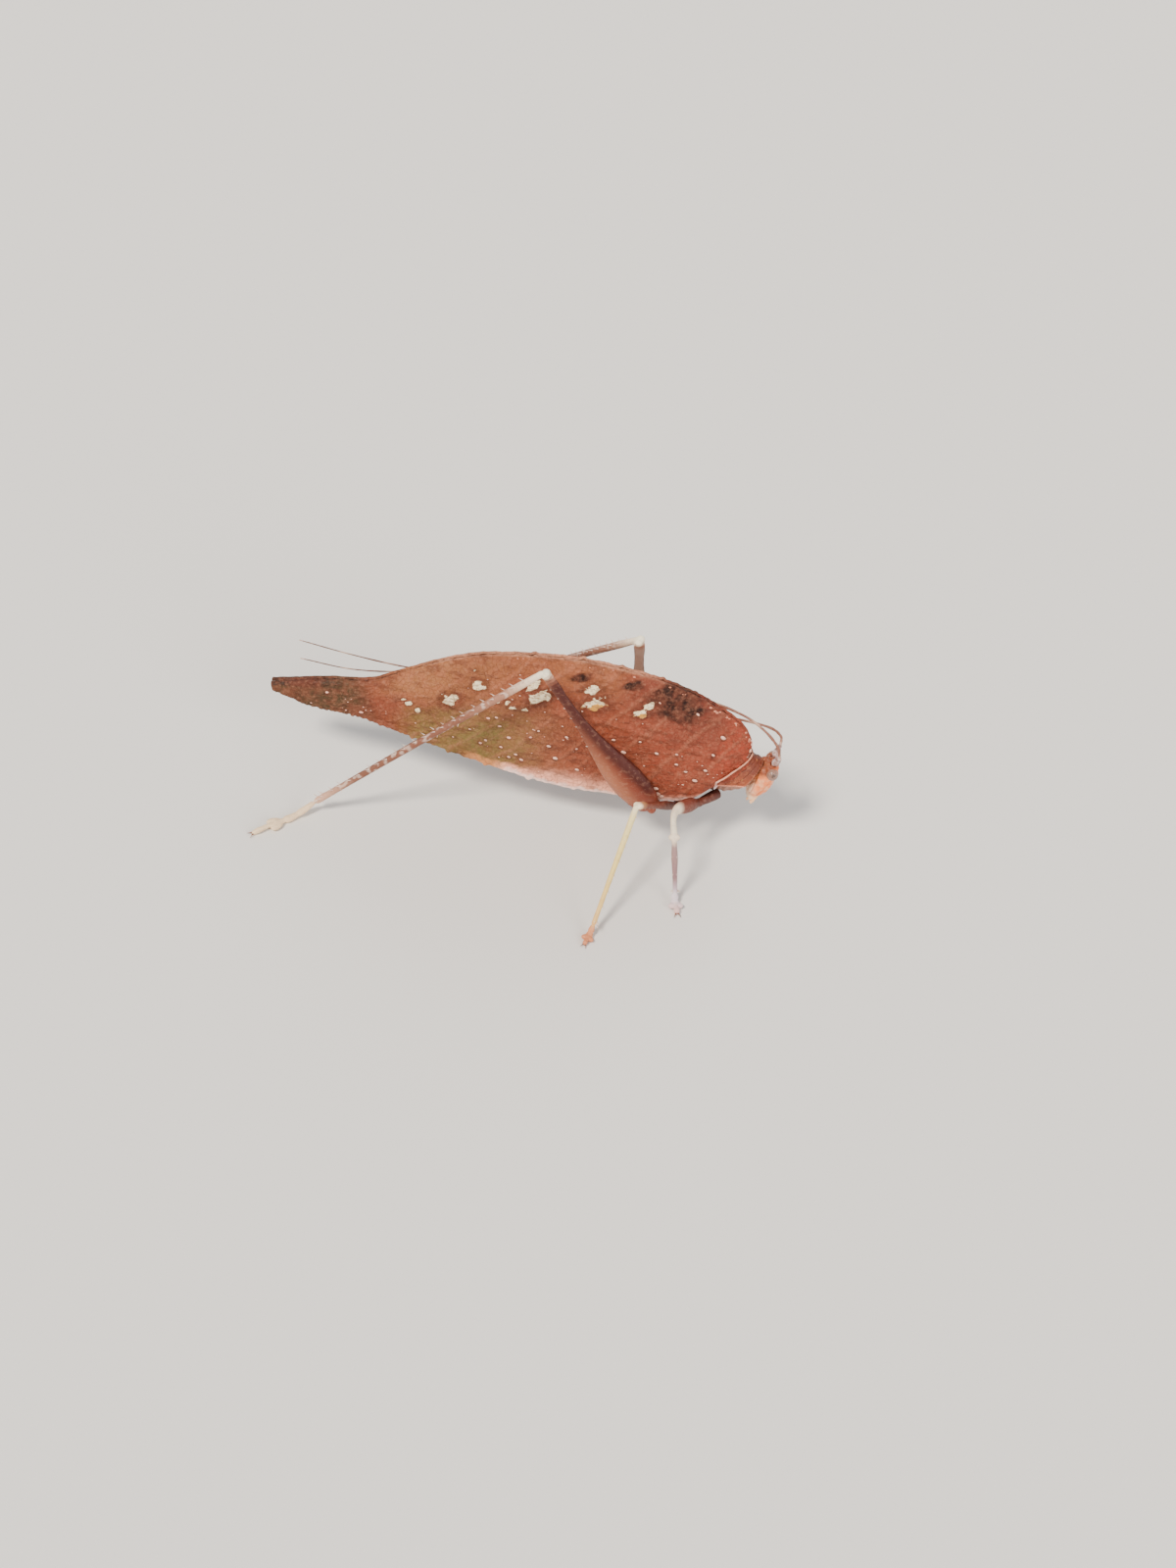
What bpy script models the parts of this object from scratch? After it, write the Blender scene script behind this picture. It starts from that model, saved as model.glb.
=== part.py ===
"""A leaf-mimic katydid at rest on its six feet, life size: a long-horned bush cricket whose upright fore wings
look like one fallen leaf. The head points along +X, the left side is +Y and the feet stand on z = 0.
Shapes are given in millimetres and turned to metres where a mesh is made."""

import math

import bmesh
import bpy
from mathutils import Matrix, Vector

MM = 0.001

# Gap kept between neighbouring pieces, and the least thickness of a wing
GAP = 0.3
WING_THICKNESS = 0.5

# Upper edge of the folded fore wings, from the shoulder back to the drawn-out tip: x, z
CREST = ((26.9, 14.0), (26.8, 15.5), (25.2, 17.9), (22.5, 19.7), (18.6, 21.5), (13.0, 22.9), (5.0, 23.4),
         (-3.0, 22.3), (-9.0, 20.3), (-15.4, 16.3), (-18.6, 14.2), (-24.0, 13.0), (-30.3, 11.0))

# Lower edge of a fore wing, from its root back to the tip: x, distance from the middle plane, z
HEM = ((23.8, 3.1, 10.5), (21.5, 3.4, 8.4), (17.0, 3.6, 6.9), (11.7, 3.6, 6.4), (7.0, 3.5, 6.1),
       (2.5, 3.4, 6.5), (-2.0, 3.2, 7.3), (-7.4, 2.9, 8.2), (-13.0, 2.4, 9.1), (-19.3, 1.7, 9.8),
       (-25.0, 1.1, 9.3), (-30.0, 0.75, 10.4))
CREST_OFFSET = GAP / 2 + WING_THICKNESS / 2 + 0.05
CURVE_SAMPLES = 240
CURVE_STEPS = 16

# Veins raised on a fore wing: a midrib, a finer vein on each side of it, and slanting side veins
MIDRIB = 0.40
WING_ROWS = (0.0, 0.045, 0.16, 0.27, 0.36, MIDRIB, 0.44, 0.55, 0.68, 0.82, 0.95, 1.0)
MIDRIB_HEIGHT = 0.34
SIDE_VEINS = 11
SIDE_VEIN_HEIGHT = 0.26
SIDE_VEIN_HALF_WIDTH = 0.0075
SIDE_VEIN_SLANT = 0.20
FIRST_SIDE_VEIN = 0.07
LAST_SIDE_VEIN = 0.90
MARGIN_TOOTH = 0.32
FIELD_TOOTH_SHARE = 0.5

# Folded hind wings
HIND_WING_ROOT_X = 21.5
HIND_WING_LENGTH = 35.0
HIND_WING_LOW_Z = 13.3
HIND_WING_RISE = 0.4
HIND_WING_LEAST_HEIGHT = 0.7
HIND_WING_SWELL = 3.2
HIND_WING_START = 0.12
HIND_WING_FULLNESS = 0.7
HIND_WING_MIDDLE = 0.66
HIND_WING_CLOSING = 0.1
HIND_WING_HALF_THICKNESS = 0.25
HIND_WING_STATIONS = 8
HIND_WING_PLEATS = 4
HIND_WING_PLEAT_DEPTH = 0.22

# Head, as level rings from the crown down to the mouth: z, middle x, half length, half width
HEAD_RINGS = ((13.05, 30.12, 0.40, 0.50), (12.6, 30.16, 0.80, 1.12), (11.7, 30.08, 1.02, 1.56),
              (10.7, 29.79, 1.26, 1.76), (9.7, 29.45, 1.44, 1.75), (8.8, 29.2, 1.36, 1.58),
              (8.1, 29.0, 1.14, 1.32), (7.5, 28.88, 0.88, 1.05), (6.95, 28.82, 0.62, 0.78),
              (6.5, 28.82, 0.38, 0.52))
HEAD_SIDES = 18
EYE_PLACE = (30.25, 1.50, 12.25)
EYE_RADIUS = 0.72

# Horn between the feelers, then the swellings of the face: middle, radii
BROW_ROOT = (30.1, 0, 12.6)
BROW_TIP = (31.0, 0, 13.6)
BROW_RADIUS = 0.26
UPPER_LIP = ((29.42, 0, 7.5), (0.42, 0.70, 0.85))
FACE_PLATE = ((30.05, 0, 8.8), (0.50, 0.85, 0.55))
JAW = ((28.95, 0.72, 7.35), (0.60, 0.42, 0.80))

# Mouth feelers of the left side: root, tip
PALPS = {
    "maxillary": ((29.35, 1.5, 6.95), (28.5, 1.5, 6.0)),
    "labial": ((28.4, 0.85, 6.35), (27.7, 0.6, 5.9)),
}
PALP_BEND = (0.1, 0.15, -0.25)
PALP_RADII = (0.25, 0.25, 0.25, 0.26, 0.2)

# Saddle-shaped shield behind the head
SHIELD_MIDDLE_Z = 10.9
SHIELD_FRONT_DROP = 0.9
SHIELD_HALF_WIDTH = 2.60
SHIELD_HEIGHT = 2.60
SHIELD_FRONT_SPREAD = math.radians(86)
SHIELD_REAR_SPREAD = math.radians(118)
SHIELD_FRONT_X = 28.95
SHIELD_REAR_X = 27.5
SHIELD_FRONT_RAKE = 1.7
SHIELD_REAR_RAKE = 3.1
SHIELD_FRONT_CURVE = 0.80
SHIELD_THICKNESS = 0.5
SHIELD_FRONT_WIDTH_SHARE = 0.9
SHIELD_ROWS = 16

# Places along the shield from its front rim, and how far it stands out there
SHIELD_STATIONS = ((0.0, 0.10), (0.10, 0.0), (0.40, -0.04), (0.70, 0.0), (0.88, 0.03), (1.0, 0.16))
SHIELD_BUMP = 0.04
BUMP_SPACING = 4
BUMP_FIRST_STATION = 0.3
BUMP_LAST_STATION = 0.9

# Trunk, as upright rings: x, middle z, half width, half height
NECK_RINGS = ((27.5, 9.1, 1.25, 1.40), (26.9, 9.1, 1.45, 1.90), (25.8, 9.3, 1.60, 2.35),
              (24.9, 9.5, 1.65, 2.60), (24.4, 9.6, 1.50, 2.50))
THORAX_RINGS = ((24.1, 9.6, 1.70, 2.60), (23.3, 9.6, 2.15, 3.05), (21.0, 9.6, 2.45, 3.30),
                (18.0, 9.6, 2.50, 3.30), (15.0, 9.7, 2.45, 3.15), (14.0, 9.8, 2.20, 2.85),
                (13.4, 9.9, 1.90, 2.50))
TRUNK_SIDES = 16
ABDOMEN_FRONT_X = 13.1
ABDOMEN_REAR_X = -9.0
ABDOMEN_MIDDLE_Z = 9.9
ABDOMEN_RISE = 0.5
ABDOMEN_HALF_WIDTH = 2.35
ABDOMEN_HALF_HEIGHT = 2.95
ABDOMEN_TAPER = 0.55
ABDOMEN_TAPER_POWER = 1.8
ABDOMEN_SEGMENTS = 9
ABDOMEN_SIDES = 14

# The two rings of each abdomen segment: place along the segment, share of the full girth
SEGMENT_RINGS = ((0.04, 0.92), (0.86, 1.0))

# Tail feelers and egg blade, from the end of the abdomen: back, out to the side, up
CERCUS_PATH = ((-0.05, 0.75, 0.55), (1.1, 1.05, 0.75), (2.2, 0.95, 1.1))
CERCUS_RADII = (0.34, 0.32, 0.29, 0.25, 0.12)
BLADE_PATH = ((0.05, 0, -0.35), (4.0, 0, -0.1), (7.8, 0, 1.9))
BLADE_HALF_HEIGHTS = (0.95, 0.9, 0.8, 0.6, 0.22)
BLADE_FLATNESS = 0.36
BLADE_STATIONS = 9
BLADE_SIDES = 8

# Legs: where the coxa leaves the body, hip, a point on the bow of the femur, knee, ankle, end of the claws
LEGS = {
    "front_right": ((24.3, -1.9, 7.5), (22.4, -3.6, 7.3), (19.3, -7.8, 8.6), (19.7, -11.0, 8.1),
                    (21.3, -13.0, 1.3), (21.9, -15.4, 0.0)),
    "front_left": ((24.3, 1.9, 7.5), (22.6, 3.6, 7.3), (20.0, 7.8, 8.9), (20.6, 10.8, 8.6),
                   (22.6, 12.8, 1.3), (23.6, 15.0, 0.0)),
    "mid_right": ((20.9, -2.0, 6.5), (19.8, -3.6, 6.1), (17.4, -6.5, 8.75), (14.6, -9.0, 10.6),
                  (12.0, -20.3, 1.3), (11.3, -22.6, 0.0)),
    "mid_left": ((20.9, 2.0, 6.5), (19.8, 3.6, 6.1), (18.0, 6.3, 8.6), (16.2, 8.6, 10.4),
                 (14.6, 17.2, 1.3), (13.8, 19.8, 0.0)),
    "hind_right": ((17.6, -1.2, 5.75), (16.9, -5.1, 6.4), (8.6, -4.95, 15.4), (1.0, -4.0, 24.2),
                   (-22.8, -9.3, 1.5), (-29.2, -14.9, 0.0)),
    "hind_left": ((17.4, 1.2, 5.75), (16.5, 5.15, 6.4), (13.2, 4.9, 14.8), (11.2, 2.9, 25.6),
                  (-3.6, 17.6, 1.5), (-9.9, 20.9, 0.0)),
}

# Half widths along each femur from hip to knee, and half thickness as a share of them
FEMUR_HALF_WIDTHS = {
    "front": (0.55, 0.92, 0.84, 0.52, 0.42, 0.50),
    "mid": (0.50, 0.60, 0.58, 0.46, 0.40, 0.50),
    "hind": (1.46, 2.24, 1.78, 1.05, 0.58, 0.64),
}
FEMUR_FLATNESS = {"front": 0.8, "mid": 0.8, "hind": 0.45}
FEMUR_STATIONS = 9
FEMUR_SIDES = 10
KNEE_STOP = 0.15

# Scales the line of the tibia into the broad direction of the femur: less to the side
BROAD_TURN = Vector((1, 0.3, 1))
TIBIA_RADII = {
    "front": (0.36, 0.44, 0.36, 0.32, 0.31),
    "mid": (0.40, 0.36, 0.31),
    "hind": (0.47, 0.43, 0.39),
}
TIBIA_STATIONS = 7
TIBIA_BOW = 0.006
COXA_RADIUS = {"front": 0.62, "mid": 0.66, "hind": 0.62}
COXA_TAPER = 0.8
COXA_STOP = {"front": 0.35, "mid": 0.55, "hind": 1.0}

# Feet: size of each pair, then shares of that size
FOOT_SIZES = {"front": 1.35, "mid": 1.05, "hind": 1.3}
FOOT_SWELL = (0.27, 0.34, 0.38, 0.28, 0.40, 0.46, 0.30, 0.36, 0.40, 0.30, 0.29, 0.28, 0.20)
FOOT_FLATNESS = 0.75
FOOT_SIDES = 8
HEEL_HEIGHT = 0.32
SOLE_HEIGHT = 0.30
TOE_HEIGHT = 0.26
LOBE_PLACE = 0.60
LOBE_SPREAD = 0.34
LOBE_RADII = (0.46, 0.46, 0.30)
CLAW_RADIUS = 0.13
CLAW_ROOT_BACK = 0.15
CLAW_ROOT_SPREAD = 0.06
CLAW_REACH = 0.42
CLAW_SPREAD = 0.34
CLAW_DROP = 0.12

# Spines of the tibiae, in two rows: how many in a row, length
TIBIA_SPINES = {"front": (5, 0.55), "mid": (6, 0.55), "hind": (11, 0.75)}
TIBIA_SPINE_STRETCH = (0.14, 0.94)
SPINE_STAGGER = 0.125
SPINE_REACH = 0.75
SPINE_LEAN = 0.5
SPINE_SUNK = 0.4
SPINE_RADIUS = 0.16
SPINE_ROW_ANGLE = math.radians(38)

# Spines under the hind femora
FEMUR_SPINES = 5
FEMUR_SPINE_STRETCH = (0.50, 0.84)
FEMUR_SPINE_SUNK = 0.25
FEMUR_SPINE_REACH = 0.38
FEMUR_SPINE_LEAN = 0.25
LOOK_AHEAD = 0.03
SPIKE_SIDES = 5
SPIKE_TIP_SHARE = 0.3

# Feelers: the thick first joint of the left one, then both whips as they lie back on the left of the wings
SCAPE_ROOT = (30.15, 0.62, 13.3)
SCAPE_TIP = (30.45, 0.95, 14.6)
SCAPE_RADII = (0.36, 0.42, 0.42, 0.30)
FEELER_RIGHT = ((30.55, -1.15, 15.0), (29.9, -0.8, 16.3), (27.9, 0.7, 17.2), (25.0, 2.3, 17.5),
                (19.0, 3.2, 18.2), (12.0, 3.0, 18.8), (3.0, 3.3, 18.6), (-6.0, 3.2, 16.8),
                (-14.0, 3.0, 13.9), (-21.0, 3.0, 12.4), (-27.6, 3.4, 12.2))
FEELER_LEFT = ((30.55, 1.15, 15.0), (30.4, 2.2, 15.35), (28.0, 4.2, 14.6), (19.0, 6.1, 13.0),
               (8.0, 6.6, 12.0), (-4.0, 6.6, 11.2), (-15.0, 6.6, 10.9), (-22.0, 6.7, 11.2),
               (-28.4, 6.9, 11.8))
FEELER_LENGTHS = 3
FEELER_STATIONS = 13
FEELER_RADII = (0.26, 0.26, 0.25, 0.10)

SIDES = {"left": 1, "right": -1}

# Brings the middle of the whole outline over the origin
FRAME_SHIFT = (-0.38, 0.84, 0.0)


def clear_scene():
    for thing in list(bpy.data.objects):
        bpy.data.objects.remove(thing, do_unlink=True)


def metres(point):
    return Vector(point) * MM


def on_side(point, sign):
    """A point of the left side, or its mirror image on the right where the sign is negative."""
    return Vector((point[0], sign * point[1], point[2]))


def behind(offset, sign):
    """A place given back, out and up from the end of the abdomen."""
    back, out, up = offset
    return Vector((ABDOMEN_REAR_X - back, sign * out, ABDOMEN_MIDDLE_Z + ABDOMEN_RISE + up))


def make_material(name, colour, roughness):
    material = bpy.data.materials.new(name)
    material.use_nodes = True
    shader = material.node_tree.nodes["Principled BSDF"]
    shader.inputs["Base Color"].default_value = (*colour, 1.0)
    shader.inputs["Roughness"].default_value = roughness
    shader.inputs["Metallic"].default_value = 0.0
    return material


def place_mesh(name, builder, material):
    """Turns a bmesh given in metres into a named object that hangs on the insect's root."""
    mesh = bpy.data.meshes.new(name)
    bmesh.ops.recalc_face_normals(builder, faces=builder.faces)
    builder.to_mesh(mesh)
    builder.free()
    mesh.materials.append(material)
    thing = bpy.data.objects.new(name, mesh)
    thing.parent = ROOT
    PARTS.objects.link(thing)
    return thing


def smooth_points(points, count):
    """Points spaced along a smooth curve through the given ones."""
    points = [Vector(point) for point in points]
    padded = [2 * points[0] - points[1], *points, 2 * points[-1] - points[-2]]
    fine = []
    for index in range(1, len(padded) - 2):
        before, start, end, after = padded[index - 1:index + 3]
        for step in range(CURVE_STEPS):
            t = step / CURVE_STEPS
            fine.append(0.5 * (2 * start + (end - before) * t
                               + (2 * before - 5 * start + 4 * end - after) * t ** 2
                               + (3 * start - before - 3 * end + after) * t ** 3))
    fine.append(points[-1])
    reach = [0.0]
    for first, second in zip(fine, fine[1:]):
        reach.append(reach[-1] + (second - first).length)
    spaced = []
    place = 0
    for number in range(count):
        wanted = reach[-1] * number / (count - 1)
        while place < len(fine) - 2 and reach[place + 1] < wanted:
            place += 1
        share = (wanted - reach[place]) / max(reach[place + 1] - reach[place], 1e-9)
        spaced.append(fine[place].lerp(fine[place + 1], share))
    return spaced


def read_value(values, share):
    """The evenly spaced values, or points, read at this share of their length, straight between them."""
    place = share * (len(values) - 1)
    low = min(int(place), len(values) - 2)
    return values[low] + (values[low + 1] - values[low]) * (place - low)


def spread(values, count):
    """The values read at evenly spaced places, straight between them."""
    return [read_value(values, number / (count - 1)) for number in range(count)]


def trimmed(points, start, end):
    """The path with this much cut off its two ends."""
    points = [Vector(point) for point in points]
    points[0] = points[0] + (points[1] - points[0]).normalized() * start
    points[-1] = points[-1] + (points[-2] - points[-1]).normalized() * end
    return points


def loft(name, rings, material):
    """Closed skin over rings of equally many points, in millimetres."""
    builder = bmesh.new()
    made = [[builder.verts.new(metres(point)) for point in ring] for ring in rings]
    count = len(rings[0])
    for first, second in zip(made, made[1:]):
        for index in range(count):
            after = (index + 1) % count
            builder.faces.new((first[index], first[after], second[after], second[index]))
    builder.faces.new(made[0])
    builder.faces.new(made[-1])
    return place_mesh(name, builder, material)


def oval(middle, across, upward, half_width, half_height, count):
    ring = []
    for index in range(count):
        angle = 2 * math.pi * index / count
        ring.append(middle + across * half_width * math.cos(angle) + upward * half_height * math.sin(angle))
    return ring


def limb(name, path, half_widths, flatness, broad, count, material):
    """A rod of oval section: broad is the direction in which it is widest."""
    rings = []
    for index, middle in enumerate(path):
        ahead = path[min(index + 1, len(path) - 1)] - path[max(index - 1, 0)]
        thin = ahead.cross(Vector(broad)).normalized()
        wide = thin.cross(ahead).normalized()
        rings.append(oval(middle, wide, thin, half_widths[index], half_widths[index] * flatness, count))
    return loft(name, rings, material)


def wire(name, path, radii, resolution, material):
    """A round tapering rod as a bevelled curve."""
    curve = bpy.data.curves.new(name, "CURVE")
    curve.dimensions = "3D"
    curve.bevel_depth = MM
    curve.bevel_resolution = resolution
    curve.use_fill_caps = True
    curve.materials.append(material)
    spline = curve.splines.new("POLY")
    spline.points.add(len(path) - 1)
    for point, place, radius in zip(spline.points, path, radii):
        point.co = (*metres(place), 1.0)
        point.radius = radius
    thing = bpy.data.objects.new(name, curve)
    thing.parent = ROOT
    PARTS.objects.link(thing)
    return thing


def as_mesh(thing):
    """The curve as a mesh object of the same name, with its caps welded on."""
    graph = bpy.context.evaluated_depsgraph_get()
    mesh = bpy.data.meshes.new_from_object(thing.evaluated_get(graph))
    builder = bmesh.new()
    builder.from_mesh(mesh)
    bmesh.ops.remove_doubles(builder, verts=builder.verts, dist=1e-6)
    name = thing.name
    material = thing.data.materials[0]
    bpy.data.objects.remove(thing, do_unlink=True)
    return place_mesh(name, builder, material)


def spike(root, tip, radius, material):
    """A small blunt cone from root to tip."""
    root = Vector(root)
    aim = Vector(tip) - root
    builder = bmesh.new()
    bmesh.ops.create_cone(builder, cap_ends=True, segments=SPIKE_SIDES, radius1=radius * MM,
                          radius2=radius * SPIKE_TIP_SHARE * MM, depth=aim.length * MM)
    turn = aim.to_track_quat("Z", "Y").to_matrix().to_4x4()
    bmesh.ops.transform(builder, matrix=Matrix.Translation(metres(root + aim / 2)) @ turn, verts=builder.verts)
    return place_mesh("spike", builder, material)


def bulb(middle, radii, material):
    """An egg-shaped swelling with its axes along x, y and z."""
    builder = bmesh.new()
    bmesh.ops.create_uvsphere(builder, u_segments=8, v_segments=6, radius=MM)
    bmesh.ops.scale(builder, vec=Vector(radii), verts=builder.verts)
    bmesh.ops.translate(builder, vec=metres(middle), verts=builder.verts)
    return place_mesh("bulb", builder, material)


def keep_largest(thing):
    """Leaves only the largest closed surface of the mesh."""
    builder = bmesh.new()
    builder.from_mesh(thing.data)
    unseen = set(builder.faces)
    islands = []
    while unseen:
        island = {unseen.pop()}
        edge_of_island = list(island)
        while edge_of_island:
            face = edge_of_island.pop()
            near = {other for edge in face.edges for other in edge.link_faces} & unseen
            unseen -= near
            island |= near
            edge_of_island.extend(near)
        islands.append(island)
    largest = max(islands, key=lambda island: sum(face.calc_area() for face in island))
    loose = [face for face in builder.faces if face not in largest]
    bmesh.ops.delete(builder, geom=loose, context="FACES")
    builder.to_mesh(thing.data)
    builder.free()


def fuse(base, pieces):
    """Joins pieces whose roots are sunk into the base with it, as one closed body."""
    group = bpy.data.collections.new(f"{base.name} pieces")
    bpy.context.scene.collection.children.link(group)
    for piece in pieces:
        PARTS.objects.unlink(piece)
        group.objects.link(piece)
    union = base.modifiers.new("union", "BOOLEAN")
    union.operation = "UNION"
    union.operand_type = "COLLECTION"
    union.collection = group
    graph = bpy.context.evaluated_depsgraph_get()
    base.data = bpy.data.meshes.new_from_object(base.evaluated_get(graph))
    base.modifiers.clear()
    for piece in list(group.objects):
        bpy.data.objects.remove(piece, do_unlink=True)
    bpy.data.collections.remove(group)
    keep_largest(base)


def upright_oval(x, z, half_width, half_height, sides):
    """A ring of the trunk, square to its length."""
    return oval(Vector((x, 0, z)), Vector((0, 1, 0)), Vector((0, 0, 1)), half_width, half_height, sides)


def make_trunk():
    for name, rings in (("neck", NECK_RINGS), ("thorax", THORAX_RINGS)):
        loft(name, [upright_oval(*ring, TRUNK_SIDES) for ring in rings], BODY)


def make_abdomen():
    """Segments that flare towards their rear edge, with the tail feelers and the egg blade behind them."""
    rings = []
    length = ABDOMEN_FRONT_X - ABDOMEN_REAR_X
    for segment in range(ABDOMEN_SEGMENTS):
        for inside, girth in SEGMENT_RINGS:
            share = (segment + inside) / ABDOMEN_SEGMENTS
            girth *= 1 - ABDOMEN_TAPER * share ** ABDOMEN_TAPER_POWER
            rings.append(upright_oval(ABDOMEN_FRONT_X - length * share,
                                      ABDOMEN_MIDDLE_Z + ABDOMEN_RISE * share,
                                      ABDOMEN_HALF_WIDTH * girth, ABDOMEN_HALF_HEIGHT * girth, ABDOMEN_SIDES))
    loft("abdomen", rings, BODY)
    for side, sign in SIDES.items():
        path = smooth_points([behind(offset, sign) for offset in CERCUS_PATH], len(CERCUS_RADII))
        wire(f"cercus_{side}", path, CERCUS_RADII, 1, BODY)
    blade = smooth_points([behind(offset, 1) for offset in BLADE_PATH], BLADE_STATIONS)
    limb("ovipositor", blade, spread(BLADE_HALF_HEIGHTS, BLADE_STATIONS), BLADE_FLATNESS, (0, 0, 1),
         BLADE_SIDES, BODY)


def make_head():
    rings = [oval(Vector((x, 0, z)), Vector((1, 0, 0)), Vector((0, 1, 0)), length, width, HEAD_SIDES)
             for z, x, length, width in HEAD_RINGS]
    head = loft("head", rings, FACE)
    jaw_middle, jaw_radii = JAW
    fuse(head, [spike(BROW_ROOT, BROW_TIP, BROW_RADIUS, FACE), bulb(*UPPER_LIP, FACE), bulb(*FACE_PLATE, FACE),
                *(bulb(on_side(jaw_middle, sign), jaw_radii, FACE) for sign in SIDES.values())])
    for side, sign in SIDES.items():
        place = on_side(EYE_PLACE, sign)
        socket = bmesh.new()
        bmesh.ops.create_uvsphere(socket, u_segments=14, v_segments=8, radius=(EYE_RADIUS + GAP) * MM)
        bmesh.ops.translate(socket, vec=metres(place), verts=socket.verts)
        cutter = place_mesh(f"socket_{side}", socket, FACE)
        PARTS.objects.unlink(cutter)
        CUTTERS.objects.link(cutter)
        cutter.hide_render = True
        cutter.display_type = "WIRE"
        cut = head.modifiers.new(f"socket_{side}", "BOOLEAN")
        cut.operation = "DIFFERENCE"
        cut.object = cutter
        ball = bmesh.new()
        bmesh.ops.create_uvsphere(ball, u_segments=16, v_segments=10, radius=EYE_RADIUS * MM)
        bmesh.ops.translate(ball, vec=metres(place), verts=ball.verts)
        place_mesh(f"eye_{side}", ball, EYE)
        for kind, (start, end) in PALPS.items():
            root = on_side(start, sign)
            tip = on_side(end, sign)
            bend = root.lerp(tip, 0.5) + on_side(PALP_BEND, sign)
            path = smooth_points((root, bend, tip), len(PALP_RADII))
            wire(f"palp_{kind}_{side}", path, PALP_RADII, 1, FACE)


def make_shield():
    """The pronotum: a saddle whose edges are raked back on both sides."""
    builder = bmesh.new()
    grid = []
    for share, rise in SHIELD_STATIONS:
        line = []
        reach = SHIELD_FRONT_SPREAD + (SHIELD_REAR_SPREAD - SHIELD_FRONT_SPREAD) * share
        half_width = SHIELD_HALF_WIDTH * (SHIELD_FRONT_WIDTH_SHARE * (1 - share) + share)
        middle_z = SHIELD_MIDDLE_Z - SHIELD_FRONT_DROP * (1 - share)
        for row in range(SHIELD_ROWS + 1):
            angle = reach * (2 * row / SHIELD_ROWS - 1)
            rake = 1 - math.cos(min(abs(angle), math.pi / 2))
            front = SHIELD_FRONT_X - SHIELD_FRONT_RAKE * rake ** SHIELD_FRONT_CURVE
            rear = SHIELD_REAR_X - SHIELD_REAR_RAKE * rake
            bumpy = row % BUMP_SPACING == BUMP_SPACING // 2 and BUMP_FIRST_STATION < share < BUMP_LAST_STATION
            swell = 1 + rise / SHIELD_HEIGHT + (SHIELD_BUMP if bumpy else 0)
            line.append(builder.verts.new(metres((front + (rear - front) * share,
                                                  half_width * swell * math.sin(angle),
                                                  middle_z + SHIELD_HEIGHT * swell * math.cos(angle)))))
        grid.append(line)
    for first, second in zip(grid, grid[1:]):
        for row in range(SHIELD_ROWS):
            builder.faces.new((first[row], first[row + 1], second[row + 1], second[row]))
    shield = place_mesh("pronotum", builder, SHIELD)
    wall = shield.modifiers.new("thickness", "SOLIDIFY")
    wall.thickness = SHIELD_THICKNESS * MM
    wall.offset = -1.0


def wing_columns():
    """Places along a wing and their kinds: three for each side vein, and one between neighbouring veins."""
    columns = [(0.0, "edge")]
    step = (LAST_SIDE_VEIN - FIRST_SIDE_VEIN) / (SIDE_VEINS - 1)
    for vein in range(SIDE_VEINS):
        middle = FIRST_SIDE_VEIN + step * vein
        columns.append((middle - SIDE_VEIN_HALF_WIDTH, "flank"))
        columns.append((middle, "vein"))
        columns.append((middle + SIDE_VEIN_HALF_WIDTH, "flank"))
        columns.append((middle + step / 2, "field"))
    columns.append((1.0, "edge"))
    return columns


def wing_point(crests, hems, sign, along, across, kind):
    """A point of the tent-shaped wing, 0 at the crest and 1 at the hem, with its veins and margin teeth."""
    slanted = along + SIDE_VEIN_SLANT * (across - MIDRIB) * math.sin(math.pi * along)
    crest = read_value(crests, slanted)
    hem = read_value(hems, slanted)
    bulge = math.sin(across * math.pi / 2)
    offset = CREST_OFFSET + (hem.y - CREST_OFFSET) * bulge
    fade = 1 - along ** 3
    if across == MIDRIB:
        offset += MIDRIB_HEIGHT * fade
    elif kind == "vein" and 0 < across < 1:
        offset += SIDE_VEIN_HEIGHT * fade
    point = crest.lerp(hem, across)
    if across in (0.0, 1.0) and kind in ("vein", "field"):
        tooth = MARGIN_TOOTH * (1.0 if kind == "vein" else FIELD_TOOTH_SHARE) * math.sin(math.pi * along) ** 2
        point.z += tooth if across == 0.0 else -tooth
    return Vector((point.x, sign * offset, point.z))


def make_fore_wing(side, sign):
    crests = smooth_points([(x, 0, z) for x, z in CREST], CURVE_SAMPLES)
    hems = smooth_points(HEM, CURVE_SAMPLES)
    builder = bmesh.new()
    grid = [[builder.verts.new(metres(wing_point(crests, hems, sign, along, across, kind)))
             for across in WING_ROWS] for along, kind in wing_columns()]
    for first, second in zip(grid, grid[1:]):
        for row in range(len(WING_ROWS) - 1):
            builder.faces.new((first[row], first[row + 1], second[row + 1], second[row]))
    bmesh.ops.triangulate(builder, faces=builder.faces)
    wing = place_mesh(f"fore_wing_{side}", builder, WING)
    sheet = wing.modifiers.new("thickness", "SOLIDIFY")
    sheet.thickness = WING_THICKNESS * MM
    sheet.offset = 0.0


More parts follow.
